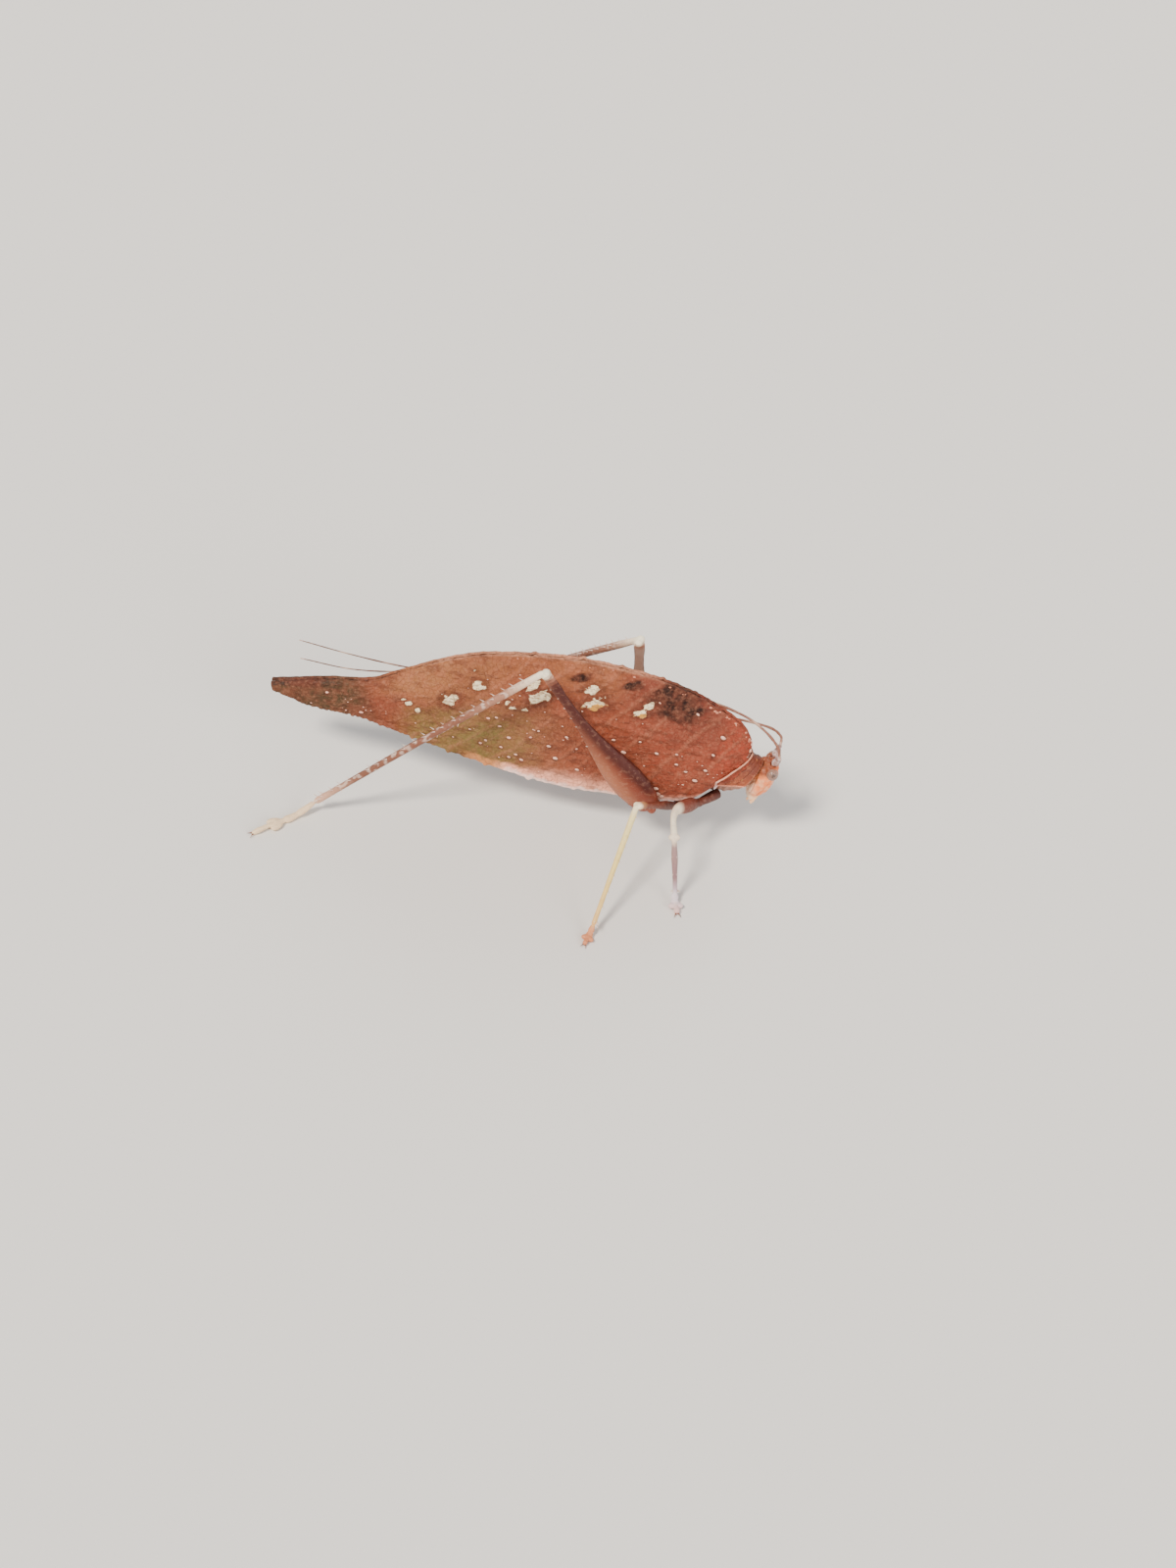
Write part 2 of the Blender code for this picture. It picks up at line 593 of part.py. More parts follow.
def make_hind_wing(side, sign):
    """The folded fan that lies between the fore wings, above the body, with its pleats along it."""
    rings = []
    for index in range(HIND_WING_STATIONS + 1):
        share = index / HIND_WING_STATIONS
        x = HIND_WING_ROOT_X - HIND_WING_LENGTH * share
        low = HIND_WING_LOW_Z + HIND_WING_RISE * share
        arch = math.sin(math.pi * min(1.0, HIND_WING_START + (1 - HIND_WING_START) * share))
        height = HIND_WING_LEAST_HEIGHT + HIND_WING_SWELL * arch ** HIND_WING_FULLNESS
        middle = HIND_WING_MIDDLE - HIND_WING_CLOSING * share
        outer = []
        inner = []
        for level in range(HIND_WING_PLEATS + 1):
            z = low + height * level / HIND_WING_PLEATS
            fold = HIND_WING_PLEAT_DEPTH * (level % 2)
            outer.append(Vector((x, sign * (middle + fold + HIND_WING_HALF_THICKNESS), z)))
            inner.append(Vector((x, sign * (middle + fold - HIND_WING_HALF_THICKNESS), z)))
        rings.append(outer + inner[::-1])
    loft(f"hind_wing_{side}", rings, BODY)


def make_leg(name, stations):
    kind = name.split("_")[0]
    root, hip, bow, knee, ankle, toe = (Vector(place) for place in stations)
    coxa_radii = (COXA_RADIUS[kind], COXA_RADIUS[kind] * COXA_TAPER)
    wire(f"coxa_{name}", trimmed((root, hip), 0, COXA_STOP[kind]), coxa_radii, 1, LEG)
    femur_path = smooth_points(trimmed((hip, bow, knee), GAP / 2, KNEE_STOP), FEMUR_STATIONS)
    chord = ankle - knee
    half_widths = spread(FEMUR_HALF_WIDTHS[kind], FEMUR_STATIONS)
    femur = limb(f"femur_{name}", femur_path, half_widths, FEMUR_FLATNESS[kind], chord * BROAD_TURN,
                 FEMUR_SIDES, LEG)
    if kind == "hind":
        fuse(femur, femur_spines(femur_path, half_widths, chord))
    turn = chord.angle(femur_path[-2] - knee)
    clear = (half_widths[-1] + GAP + TIBIA_RADII[kind][0] * max(0.0, math.cos(turn))) / math.sin(turn)
    start, end = trimmed((knee, ankle), clear, GAP)
    bend = start.lerp(end, 0.5) + Vector((0, 0, TIBIA_BOW)) * (end - start).length
    tibia_path = smooth_points((start, bend, end), TIBIA_STATIONS)
    tibia = as_mesh(wire(f"tibia_{name}", tibia_path, spread(TIBIA_RADII[kind], TIBIA_STATIONS), 1, LEG))
    fuse(tibia, tibia_spines(kind, tibia_path, knee - bow if kind == "hind" else bow - knee))
    make_foot(f"tarsus_{name}", ankle, toe, FOOT_SIZES[kind])


def places_along(path, stretch, count):
    """Evenly spaced places on a stretch of a path: share of its length, point, direction."""
    places = []
    for share in spread(stretch, count):
        middle = read_value(path, share)
        places.append((share, middle, (read_value(path, share + LOOK_AHEAD) - middle).normalized()))
    return places


def femur_spines(path, half_widths, chord):
    """Short spines along the far half of the lower edge, which faces the tibia."""
    spines = []
    for share, middle, ahead in places_along(path, FEMUR_SPINE_STRETCH, FEMUR_SPINES):
        edge = chord - ahead * chord.dot(ahead)
        edge = (edge * BROAD_TURN).normalized()
        width = read_value(half_widths, share)
        tip = middle + edge * (width + FEMUR_SPINE_REACH) + ahead * FEMUR_SPINE_LEAN
        spines.append(spike(middle + edge * (width - FEMUR_SPINE_SUNK), tip, SPINE_RADIUS, LEG))
    return spines


def tibia_spines(kind, path, outward):
    """Two rows of spines that lean towards the foot."""
    count, length = TIBIA_SPINES[kind]
    radius = TIBIA_RADII[kind][-1]
    spines = []
    for _, middle, ahead in places_along(path, TIBIA_SPINE_STRETCH, count):
        back = (outward - ahead * outward.dot(ahead)).normalized()
        across = ahead.cross(back)
        for row in (-1, 1):
            aim = back * math.cos(SPINE_ROW_ANGLE) + across * row * math.sin(SPINE_ROW_ANGLE)
            start = middle + ahead * row * SPINE_STAGGER
            tip = start + aim * (radius + length * SPINE_REACH) + ahead * length * SPINE_LEAN
            spines.append(spike(start + aim * radius * SPINE_SUNK, tip, SPINE_RADIUS, LEG))
    return spines


def make_foot(name, ankle, toe, size):
    """A foot of soft pads with a two-lobed third one and two claws, cut flat at the floor."""
    ahead = Vector((*(toe - ankle).xy, 0)).normalized()
    across = ahead.cross(Vector((0, 0, 1)))
    heel = ankle + (toe - ankle).normalized() * (GAP / 2)
    stations = (heel, (*heel.lerp(toe, 0.3).xy, HEEL_HEIGHT * size),
                (*heel.lerp(toe, 0.7).xy, SOLE_HEIGHT * size), (*toe.xy, TOE_HEIGHT))
    path = smooth_points(stations, len(FOOT_SWELL))
    foot = limb(name, path, [size * value for value in FOOT_SWELL], FOOT_FLATNESS, across, FOOT_SIDES, LEG)
    lobe_middle = Vector((*heel.lerp(toe, LOBE_PLACE).xy, TOE_HEIGHT * size))
    pieces = []
    for row in (-1, 1):
        pieces.append(bulb(lobe_middle + across * row * LOBE_SPREAD * size, Vector(LOBE_RADII) * size, LEG))
        claw_root = path[-1] - ahead * CLAW_ROOT_BACK + across * row * CLAW_ROOT_SPREAD
        claw_tip = path[-1] + ahead * CLAW_REACH + across * row * CLAW_SPREAD - Vector((0, 0, CLAW_DROP))
        pieces.append(spike(claw_root, claw_tip, CLAW_RADIUS, LEG))
    fuse(foot, pieces)
    builder = bmesh.new()
    builder.from_mesh(foot.data)
    geometry = builder.verts[:] + builder.edges[:] + builder.faces[:]
    bmesh.ops.bisect_plane(builder, geom=geometry, dist=1e-7, plane_co=(0, 0, 0), plane_no=(0, 0, -1),
                           clear_outer=True)
    rim = [edge for edge in builder.edges if edge.is_boundary]
    bmesh.ops.holes_fill(builder, edges=rim)
    bmesh.ops.recalc_face_normals(builder, faces=builder.faces)
    builder.to_mesh(foot.data)
    builder.free()


def make_feelers():
    count = FEELER_LENGTHS * (FEELER_STATIONS - 1) + 1
    taper = spread(FEELER_RADII, count)
    for side, sign, path in (("right", -1, FEELER_RIGHT), ("left", 1, FEELER_LEFT)):
        joint = smooth_points((on_side(SCAPE_ROOT, sign), on_side(SCAPE_TIP, sign)), len(SCAPE_RADII))
        wire(f"scape_{side}", joint, SCAPE_RADII, 1, FACE)
        whole = smooth_points(path, count)
        for number in range(FEELER_LENGTHS):
            first = number * (FEELER_STATIONS - 1)
            last = first + FEELER_STATIONS
            piece = trimmed(whole[first:last], 0 if number == 0 else GAP / 2, GAP / 2)
            wire(f"antenna_{side}_{number + 1}", piece, taper[first:last], 0, FACE)


clear_scene()
PARTS = bpy.data.collections.new("katydid")
CUTTERS = bpy.data.collections.new("cutters")
bpy.context.scene.collection.children.link(PARTS)
bpy.context.scene.collection.children.link(CUTTERS)
ROOT = bpy.data.objects.new("insect", None)
ROOT.location = metres(FRAME_SHIFT)
PARTS.objects.link(ROOT)

WING = make_material("wing", (0.25, 0.07, 0.04), 0.55)
SHIELD = make_material("shield", (0.35, 0.12, 0.09), 0.5)
BODY = make_material("body", (0.45, 0.22, 0.15), 0.5)
FACE = make_material("face", (0.58, 0.30, 0.20), 0.45)
EYE = make_material("eye", (0.35, 0.31, 0.34), 0.25)
LEG = make_material("leg", (0.45, 0.20, 0.14), 0.5)

make_trunk()
make_abdomen()
make_head()
make_shield()
for wing_side, wing_sign in SIDES.items():
    make_fore_wing(wing_side, wing_sign)
    make_hind_wing(wing_side, wing_sign)
make_feelers()
for leg_name, leg_stations in LEGS.items():
    make_leg(leg_name, leg_stations)
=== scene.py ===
import math
import random

import bmesh
import bpy
import numpy as np
from mathutils import Matrix, Vector, noise


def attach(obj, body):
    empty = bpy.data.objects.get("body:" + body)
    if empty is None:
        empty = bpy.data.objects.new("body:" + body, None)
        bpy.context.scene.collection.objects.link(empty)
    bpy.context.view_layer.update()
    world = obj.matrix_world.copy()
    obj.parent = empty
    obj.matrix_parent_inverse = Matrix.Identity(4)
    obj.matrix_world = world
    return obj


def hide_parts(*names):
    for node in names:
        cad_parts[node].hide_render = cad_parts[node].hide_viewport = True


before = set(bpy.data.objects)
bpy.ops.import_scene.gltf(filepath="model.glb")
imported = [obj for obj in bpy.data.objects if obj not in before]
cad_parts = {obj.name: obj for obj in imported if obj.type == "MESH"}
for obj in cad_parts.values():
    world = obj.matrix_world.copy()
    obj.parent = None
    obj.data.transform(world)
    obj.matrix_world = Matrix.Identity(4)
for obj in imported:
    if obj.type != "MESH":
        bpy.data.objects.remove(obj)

# A leaf-mimic katydid at rest. Sizes are millimetres in the insect's own frame: head along +X, left side +Y,
# feet at z = 0. SHIFT brings that frame to the part's.
MM = 0.001
SHIFT = Vector((-0.38, 0.84, 0.0))
SIDES = {"left": 1, "right": -1}
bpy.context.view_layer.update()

# Camera and light
AIM = Vector((8.9, -3.5, 7.0))
CAMERA_AZIMUTH = math.radians(-5)
CAMERA_ELEVATION = math.radians(46)
CAMERA_ROLL = math.radians(14)
CAMERA_DISTANCE = 240
PIXELS_PER_MM = 8.5
PICTURE_LONG_SIDE = 1600
SENSOR = 36
FLOOR_SIZE = 40

# Lights: the way each one comes from, its spread in degrees, strength and colour
LIGHTS = {"key": ((-0.55, -0.50, 0.95), 13, 4.3, "#FFF6EA"), "fill": ((0.9, -0.7, 0.6), 35, 1.7, "#FFF8F2"),
          "rim": ((0.2, 1.0, 0.7), 30, 0.8, "#FFFFFF")}

# Fineness of curves and limbs, and the gain that brings noise to about -1 to 1
CURVE_PARTS = 16
ROD_SAMPLES = 120
OUTLINE_SAMPLES = 400
NOISE_GAIN = 1.6

# Outline of a fore wing, as in the solids: its upper edge (x, z), and its lower edge (x, distance out, z)
CREST = ((26.9, 14.0), (26.8, 15.5), (25.2, 17.9), (22.5, 19.7), (18.6, 21.5), (13.0, 22.9), (5.0, 23.4),
         (-3.0, 22.3), (-9.0, 20.3), (-15.4, 16.3), (-18.6, 14.2), (-24.0, 13.0), (-30.3, 11.0))
HEM = ((23.8, 3.1, 10.4), (21.4, 3.5, 8.0), (17.0, 3.6, 6.7), (11.7, 3.6, 6.4), (7.0, 3.5, 6.1),
       (2.5, 3.4, 6.5), (-2.0, 3.2, 7.3), (-7.4, 2.9, 8.2), (-13.0, 2.4, 9.1), (-19.3, 1.7, 9.8),
       (-25.0, 1.1, 9.3), (-30.0, 0.75, 10.4))
CREST_OFFSET = 0.45
TOUCHING_OFFSET = 0.17
WING_THICKNESS = 0.34
WING_LENGTHWAYS = 330
WING_ACROSS = 104
WING_SPAN = 62
WING_HEIGHT = 15

# Edges of the wing: the flare of its hem, the tuck and lap of its root under the shield, and its rows of
# teeth as count and height
HEM_FLARE = 0.45
ROOT_TUCK = 0.5
ROOT_LAP = 1.1
TEETH = ((26, 0.12), (61, 0.10))
VEIN_TOOTH = 0.22

# Veins: the midrib's place between crest and hem, the side veins' places along the wing, widths as shares of
# the wing, and heights
MIDRIB = 0.40
SIDE_VEIN_STEP = 0.083
SIDE_VEINS = [0.07 + SIDE_VEIN_STEP * number for number in range(11)]
SIDE_VEIN_SLANT = 0.20
MIDRIB_WIDTH = 0.020
VEIN_WIDTH = 0.0040
FORK_WIDTH = 0.0030
MIDRIB_HEIGHT = 0.17
VEIN_HEIGHT = 0.12
FORK_HEIGHT = 0.06
NET_HEIGHT = 0.05
VEIN_NET_SIZE = 1.5
CRUST_HEIGHT = 0.06

# Seeds of the random draws of a right wing; a left wing takes the next ones. Its patches and grains are also
# moved from the right one's places by up to so many mm in x and z
SEEDS = {"patches": 7, "grains": 21, "grain sizes": 31}
LEFT_PATCH_SHIFT = (1.6, 0.8)
LEFT_GRAIN_SHIFT = (0.9, 0.5)

# Patches of the wing: x, z, half length, half height, finish; and how pale and how yellow each finish is
PATCH_TILT = 0.35
PATCH_FINISHES = {"grey": (0.88, 0.0), "cream": (1.0, 0.25), "yellow": (1.0, 1.0)}
PATCHES = ((-9.1, 15.1, 1.05, 0.85, "cream"), (-6.0, 18.0, 0.82, 0.70, "cream"),
           (-6.9, 19.7, 0.28, 0.24, "cream"), (-14.5, 13.7, 0.34, 0.24, "grey"),
           (-13.8, 13.3, 0.46, 0.33, "grey"), (-12.6, 12.8, 0.34, 0.28, "grey"),
           (-3.6, 16.5, 0.50, 0.31, "grey"), (-2.4, 16.7, 0.46, 0.27, "grey"),
           (-1.7, 16.1, 0.62, 0.32, "cream"), (-0.3, 16.3, 0.62, 0.32, "grey"),
           (0.0, 19.4, 1.05, 0.66, "grey"), (1.1, 18.2, 1.25, 0.75, "cream"),
           (7.0, 20.5, 1.05, 0.70, "grey"), (7.7, 18.7, 1.50, 0.85, "yellow"),
           (13.8, 19.5, 0.75, 0.52, "grey"), (13.1, 18.5, 0.85, 0.54, "yellow"))
DARK_BLOTCHES = ((15.8, 21.0, 2.4, 1.4, "dark"), (17.0, 20.2, 2.5, 1.6, "dark"),
                 (18.3, 19.4, 1.7, 1.3, "dark"), (11.6, 21.8, 1.2, 0.5, "dark"),
                 (5.2, 21.6, 1.2, 0.5, "dark"))

# Raised grains of the wing: the numbers of small ones, the beads at its shoulder as shares along and across,
# and a radius, and the larger ones as x, z and radius
GRAIN_SHRINK = 0.85
SMALL_GRAINS = 80
CREST_WARTS = 34
SHOULDER_BEADS = ((0.016, 0.04, 0.36), (0.008, 0.13, 0.44), (0.03, 0.01, 0.28))
GRAINS = ((19.7, 19.4, 0.28), (23.3, 16.7, 0.34), (22.5, 14.5, 0.26), (19.8, 11.9, 0.24), (22.1, 12.5, 0.24),
          (21.1, 10.9, 0.28), (18.4, 14.0, 0.18), (18.6, 12.5, 0.22), (14.9, 20.3, 0.18), (12.1, 13.1, 0.26),
          (8.7, 14.5, 0.22), (10.6, 14.4, 0.24), (13.6, 14.9, 0.22), (15.9, 13.6, 0.24), (-4.3, 14.0, 0.20),
          (-3.3, 14.4, 0.20), (-2.8, 13.2, 0.18), (-6.2, 12.0, 0.18), (-1.5, 11.9, 0.22), (-4.6, 10.2, 0.22),
          (-4.1, 10.8, 0.18), (-2.3, 10.3, 0.22), (-1.1, 9.0, 0.26), (0.4, 9.0, 0.26), (-0.3, 9.7, 0.20),
          (4.5, 10.3, 0.26), (3.4, 11.8, 0.22), (1.8, 13.8, 0.20), (1.0, 12.7, 0.20), (5.1, 13.5, 0.20),
          (6.6, 12.2, 0.22), (7.2, 9.2, 0.24), (-23.6, 11.8, 0.22), (-19.2, 10.4, 0.22), (16.9, 8.6, 0.30),
          (17.3, 7.9, 0.34), (17.9, 7.5, 0.30))


def colour(code):
    """Linear red, green, blue and alpha of an sRGB hex code."""
    parts = [int(code[i:i + 2], 16) / 255 for i in (1, 3, 5)]
    return (*(c / 12.92 if c <= 0.04045 else ((c + 0.055) / 1.055) ** 2.4 for c in parts), 1.0)


def smooth_points(points, count):
    """Points evenly spaced along a smooth curve through the given ones."""
    points = [Vector(point) for point in points]
    padded = [2 * points[0] - points[1], *points, 2 * points[-1] - points[-2]]
    fine = []
    for index in range(1, len(padded) - 2):
        before, start, end, after = padded[index - 1:index + 3]
        for part in range(CURVE_PARTS):
            t = part / CURVE_PARTS
            fine.append(0.5 * (2 * start + (end - before) * t
                               + (2 * before - 5 * start + 4 * end - after) * t ** 2
                               + (3 * start - before - 3 * end + after) * t ** 3))
    fine.append(points[-1])
    fine = np.array(fine)
    reach = np.concatenate(([0], np.cumsum(np.linalg.norm(np.diff(fine, axis=0), axis=1))))
    wanted = np.linspace(0, reach[-1], count)
    return np.stack([np.interp(wanted, reach, fine[:, axis]) for axis in range(fine.shape[1])], axis=1)


def read(values, share):
    """The evenly spaced values, or rows of values, read at shares of their length."""
    values = np.asarray(values, float)
    places = np.linspace(0, 1, len(values))
    if values.ndim == 1:
        return np.interp(share, places, values)
    return np.stack([np.interp(share, places, values[:, axis]) for axis in range(values.shape[1])], axis=-1)


def step(low, high, value):
    """A smooth rise from 0 at low to 1 at high, or a fall where low is the larger of the two."""
    t = np.clip((value - low) / (high - low), 0, 1)
    return t * t * (3 - 2 * t)


def between(start, full, fading, end, value):
    """A mask that is 1 from full to fading, and 0 before start and past end."""
    return step(start, full, value) * step(end, fading, value)


def rough(points, size, seed=0.0):
    """Smooth noise of about -1 to 1 at the points, with features of this size in mm."""
    values = [noise.noise(Vector((x / size + seed, y / size, z / size))) for x, y, z in points]
    return NOISE_GAIN * np.array(values)


def cells(points, size, seed=0.0):
    """How near each point is to a border between two cells of this size: 0 on the border."""
    near = []
    for x, y, z in points:
        reach = noise.voronoi(Vector((x / size + seed, y / size, z / size)))[0]
        near.append(reach[1] - reach[0])
    return np.array(near)


# Modelling in Blender

def only(*things):
    """Selects these things alone, the first as the active one."""
    bpy.ops.object.select_all(action="DESELECT")
    for thing in things:
        thing.select_set(True)
    bpy.context.view_layer.objects.active = things[0]


def added(primitive, **settings):
    """A new primitive as the only selected object, with its place applied to its mesh."""
    bpy.ops.object.select_all(action="DESELECT")
    primitive(**settings)
    bpy.ops.object.transform_apply(location=True, rotation=True, scale=True)
    return bpy.context.object


def corners(thing):
    """Places of the corners of a mesh."""
    points = np.empty(len(thing.data.vertices) * 3)
    thing.data.vertices.foreach_get("co", points)
    return points.reshape(-1, 3)


def move_corners(thing, points):
    """Puts the corners of a mesh at new places."""
    thing.data.vertices.foreach_set("co", np.asarray(points, float).ravel())
    thing.data.update()


def modified(thing, kind, **settings):
    """Adds a modifier, sets it and applies it."""
    only(thing)
    modifier = thing.modifiers.new(kind.lower(), kind)
    for name, value in settings.items():
        setattr(modifier, name, value)
    bpy.ops.object.modifier_apply(modifier=modifier.name)
    return thing


def joined(things):
    """One piece from several."""
    only(*things)
    bpy.ops.object.join()
    return bpy.context.object


def edited(thing, operator, **settings):
    """Runs a mesh operator on the whole of a piece."""
    only(thing)
    bpy.ops.object.mode_set(mode="EDIT")
    bpy.ops.mesh.select_all(action="SELECT")
    operator(**settings)
    bpy.ops.object.mode_set(mode="OBJECT")
    return thing


def cut_uprights(thing, cuts):
    """Cuts each edge that runs up a new cylinder or cone of unit height this many times."""
    only(thing)
    bpy.ops.object.mode_set(mode="EDIT")
    bpy.ops.mesh.select_mode(type="EDGE")
    bpy.ops.mesh.select_all(action="DESELECT")
    cage = bmesh.from_edit_mesh(thing.data)
    for edge in cage.edges:
        edge.select_set(abs(edge.verts[0].co.z - edge.verts[1].co.z) > 0.5)
    bmesh.update_edit_mesh(thing.data)
    bpy.ops.mesh.subdivide(number_cuts=cuts)
    bpy.ops.object.mode_set(mode="OBJECT")


def sheet_of(lengthways, across, flipped=False):
    """A flat sheet one unit square, cut into a grid."""
    sheet = added(bpy.ops.mesh.primitive_grid_add, x_subdivisions=lengthways, y_subdivisions=across, size=1)
    if flipped:
        edited(sheet, bpy.ops.mesh.flip_normals)
    return sheet


def rod(points, wide, thin=None, broad=(0, 0, 1), sides=16, rings=34, caps=0.05, blunt=0.12):
    """A limb: a cylinder cut into rings, each set across the path, wide towards broad, with rounded ends."""
    thin = wide if thin is None else thin
    limb = added(bpy.ops.mesh.primitive_cylinder_add, vertices=sides, radius=1, depth=1)
    cut_uprights(limb, rings - 2)
    unit = corners(limb)
    share = (1 - np.cos(math.pi * (unit[:, 2] + 0.5))) / 2
    angle = np.arctan2(unit[:, 1], unit[:, 0])
    path = smooth_points(points, ROD_SAMPLES)
    middle = read(path, share)
    ahead = read(np.gradient(path, axis=0), share)
    ahead /= np.linalg.norm(ahead, axis=1)[:, None]
    side = np.cross(ahead, np.array(broad, float))
    side /= np.linalg.norm(side, axis=1)[:, None]
    upward = np.cross(side, ahead)
    ends = np.clip(np.minimum(share, 1 - share) / caps, 0, 1)
    swell = np.maximum(blunt, np.sqrt(1 - (1 - ends) ** 2))
    move_corners(limb, middle + upward * (read(wide, share) * swell * np.cos(angle))[:, None]
                 + side * (read(thin, share) * swell * np.sin(angle))[:, None])
    return edited(limb, bpy.ops.mesh.normals_make_consistent, inside=False)


def bulb(middle, radii, segments=20):
    """An egg-shaped swelling with its axes along x, y and z."""
    return added(bpy.ops.mesh.primitive_uv_sphere_add, segments=segments, ring_count=segments // 2 + 2,
                 radius=1, location=middle, scale=radii)


def hoop(middle, aim, radius, thickness):
    """A raised rim round a socket that looks along aim."""
    turn = Vector(aim).to_track_quat("Z", "Y").to_euler()
    return added(bpy.ops.mesh.primitive_torus_add, location=middle, rotation=turn, major_segments=28,
                 minor_segments=10, major_radius=radius, minor_radius=thickness)


def skin(things, grain, rounds=3):
    """One closed skin over overlapping forms, with the creases between them softened."""
    whole = joined(things)
    modified(whole, "REMESH", mode="VOXEL", voxel_size=grain)
    modified(whole, "SMOOTH", factor=0.5, iterations=rounds)
    return whole


def puffed(thing, middle, height):
    """Raises each corner away from an axis through the middle; None stands for the way the axis runs."""
    points = corners(thing)
    outward = np.stack([points[:, axis] * 0 if at is None else points[:, axis] - at
                        for axis, at in enumerate(middle)], axis=1)
    outward /= np.linalg.norm(outward, axis=1)[:, None] + 1e-9
    move_corners(thing, points + outward * height[:, None])


def nearest_on(route, points):
    """Number of the route's point nearest to each point, and the way out from it."""
    nearest = np.argmin(((points[:, None, :] - route[None, :, :]) ** 2).sum(axis=2), axis=1)
    return nearest, points - route[nearest]


def spike_model(curl=0.0):
    """A thorn one unit long on +Z, of unit radius at its root: a cone whose side is cut up and bent over."""
    thorn = added(bpy.ops.mesh.primitive_cone_add, vertices=7, radius1=1.0, radius2=0.08, depth=1,
                  location=(0, 0, 0.5))
    cut_uprights(thorn, 3)
    points = corners(thorn)
    height = points[:, 2]
    points[:, :2] *= (1 - 0.25 * np.sin(math.pi * height))[:, None]
    points[:, 0] += curl * height ** 2
    move_corners(thorn, points)
    return thorn


def repeated(model, frames):
    """Copies of a small model, each set in its frame and with a mesh of its own, joined; the model goes."""
    made = []
    for place in frames:
        copy = model.copy()
        copy.data = model.data.copy()
        copy.data.transform(place)
        bpy.context.collection.objects.link(copy)
        made.append(copy)
    bpy.data.objects.remove(model, do_unlink=True)
    return joined(made)


def set_at(place, aim, lean, radius, length):
    """The frame of a unit thorn or grain: at place, its length along aim and its curl towards lean."""
    up = Vector(aim).normalized()
    along = (Vector(lean) - up * up.dot(Vector(lean))).normalized()
    across = up.cross(along)
    turn = Matrix((along, across, up)).transposed().to_4x4()
    return Matrix.Translation(Vector(place)) @ turn @ Matrix.Diagonal((radius, radius, length, 1))


def paint(thing, name, values):
    """Keeps a colour, or three masks and a fourth, at each corner of the mesh."""
    values = np.asarray(values, float)
    if values.shape[1] == 3:
        values = np.concatenate((values, np.ones((len(values), 1))), axis=1)
    layer = thing.data.color_attributes.new(name, "FLOAT_COLOR", "POINT")
    layer.data.foreach_set("color", values.ravel())


def along_colours(table, place):
    """Colours between those of a table of places and hex codes."""
    marks = [mark for mark, _ in table]
    shades = np.array([colour(code)[:3] for _, code in table])
    return np.stack([np.interp(place, marks, shades[:, channel]) for channel in range(3)], axis=1)


def tint(thing, base, layers=()):
    """Paints a piece in a base colour, with further colours laid over it through masks."""
    count = len(thing.data.vertices)
    shown = np.tile(colour(base)[:3], (count, 1)) if isinstance(base, str) else base
    for mask, code in layers:
        shown = shown + (np.array(colour(code)[:3]) - shown) * np.broadcast_to(mask, count)[:, None]
    paint(thing, "tint", shown)


def finished(thing, name, material, nodes=(), angle=50):
    """Names a piece, gives it its material, and brings it from the insect's frame to the part's."""
    thing.data.transform(Matrix.Scale(MM, 4) @ Matrix.Translation(SHIFT))
    thing.name = name
    thing.data.name = name
    thing.data.materials.clear()
    thing.data.materials.append(material)
    only(thing)
    bpy.ops.object.shade_smooth_by_angle(angle=math.radians(angle))
    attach(thing, "root")
    if nodes:
        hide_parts(*nodes)
    return thing


# Materials

# How deeply the patches' edges are torn, between which values the tear runs, and how far the fine net
# wanders, in metres
FRAY_DEPTH = 1.6
FRAY_START = 1.22
FRAY_END = 1.34
NET_WANDER = 0.0006


def node(tree, kind, inputs=None, **settings):
    """Adds a shader node with its settings; inputs gives each socket a value or the output that feeds it."""
    made = tree.nodes.new("ShaderNode" + kind)
    for name, value in settings.items():
        setattr(made, name, value)
    for socket, value in (inputs or {}).items():
        if isinstance(value, bpy.types.NodeSocket):
            tree.links.new(value, made.inputs[socket])
        else:
            made.inputs[socket].default_value = value
    return made


def per_mm(size):
    """Texture scale for a pattern that repeats about every so many millimetres."""
    return 1 / (size * MM)


def start_material(name, roughness, specular=0.5, **sockets):
    """A new material with constant values on its shader's own sockets."""
    material = bpy.data.materials.new(name)
    material.use_nodes = True
    tree = material.node_tree
    shader = tree.nodes["Principled BSDF"]
    shader.inputs["Roughness"].default_value = roughness
    shader.inputs["Specular IOR Level"].default_value = specular
    for socket, value in sockets.items():
        shader.inputs[socket.replace("_", " ")].default_value = value
    place = node(tree, "TexCoord").outputs["Object"]
    return material, tree, shader, place


def coats(tree, base, layers):
    """Colours laid over a base one after another, each through its own mask."""
    shown = colour(base) if isinstance(base, str) else base
    for mask, code, strength in layers:
        amount = node(tree, "Math", {0: mask, 1: strength}, operation="MULTIPLY", use_clamp=True).outputs[0]
        shown = node(tree, "Mix", {0: amount, 6: shown, 7: colour(code)}, data_type="RGBA").outputs[2]
    return shown


def grain_mask(tree, place, size, low, high, detail=3.0, stretch=None):
    """A soft-edged mask of natural mottling whose blotches are about this many millimetres across."""
    if stretch:
        place = node(tree, "Mapping", {"Vector": place, "Scale": stretch}).outputs[0]
    cloud = node(tree, "TexNoise", {"Vector": place, "Scale": per_mm(size), "Detail": detail,
                                    "Roughness": 0.6})
    return node(tree, "MapRange", {"Value": cloud.outputs[0], "From Min": low, "From Max": high},
                interpolation_type="SMOOTHSTEP").outputs[0]


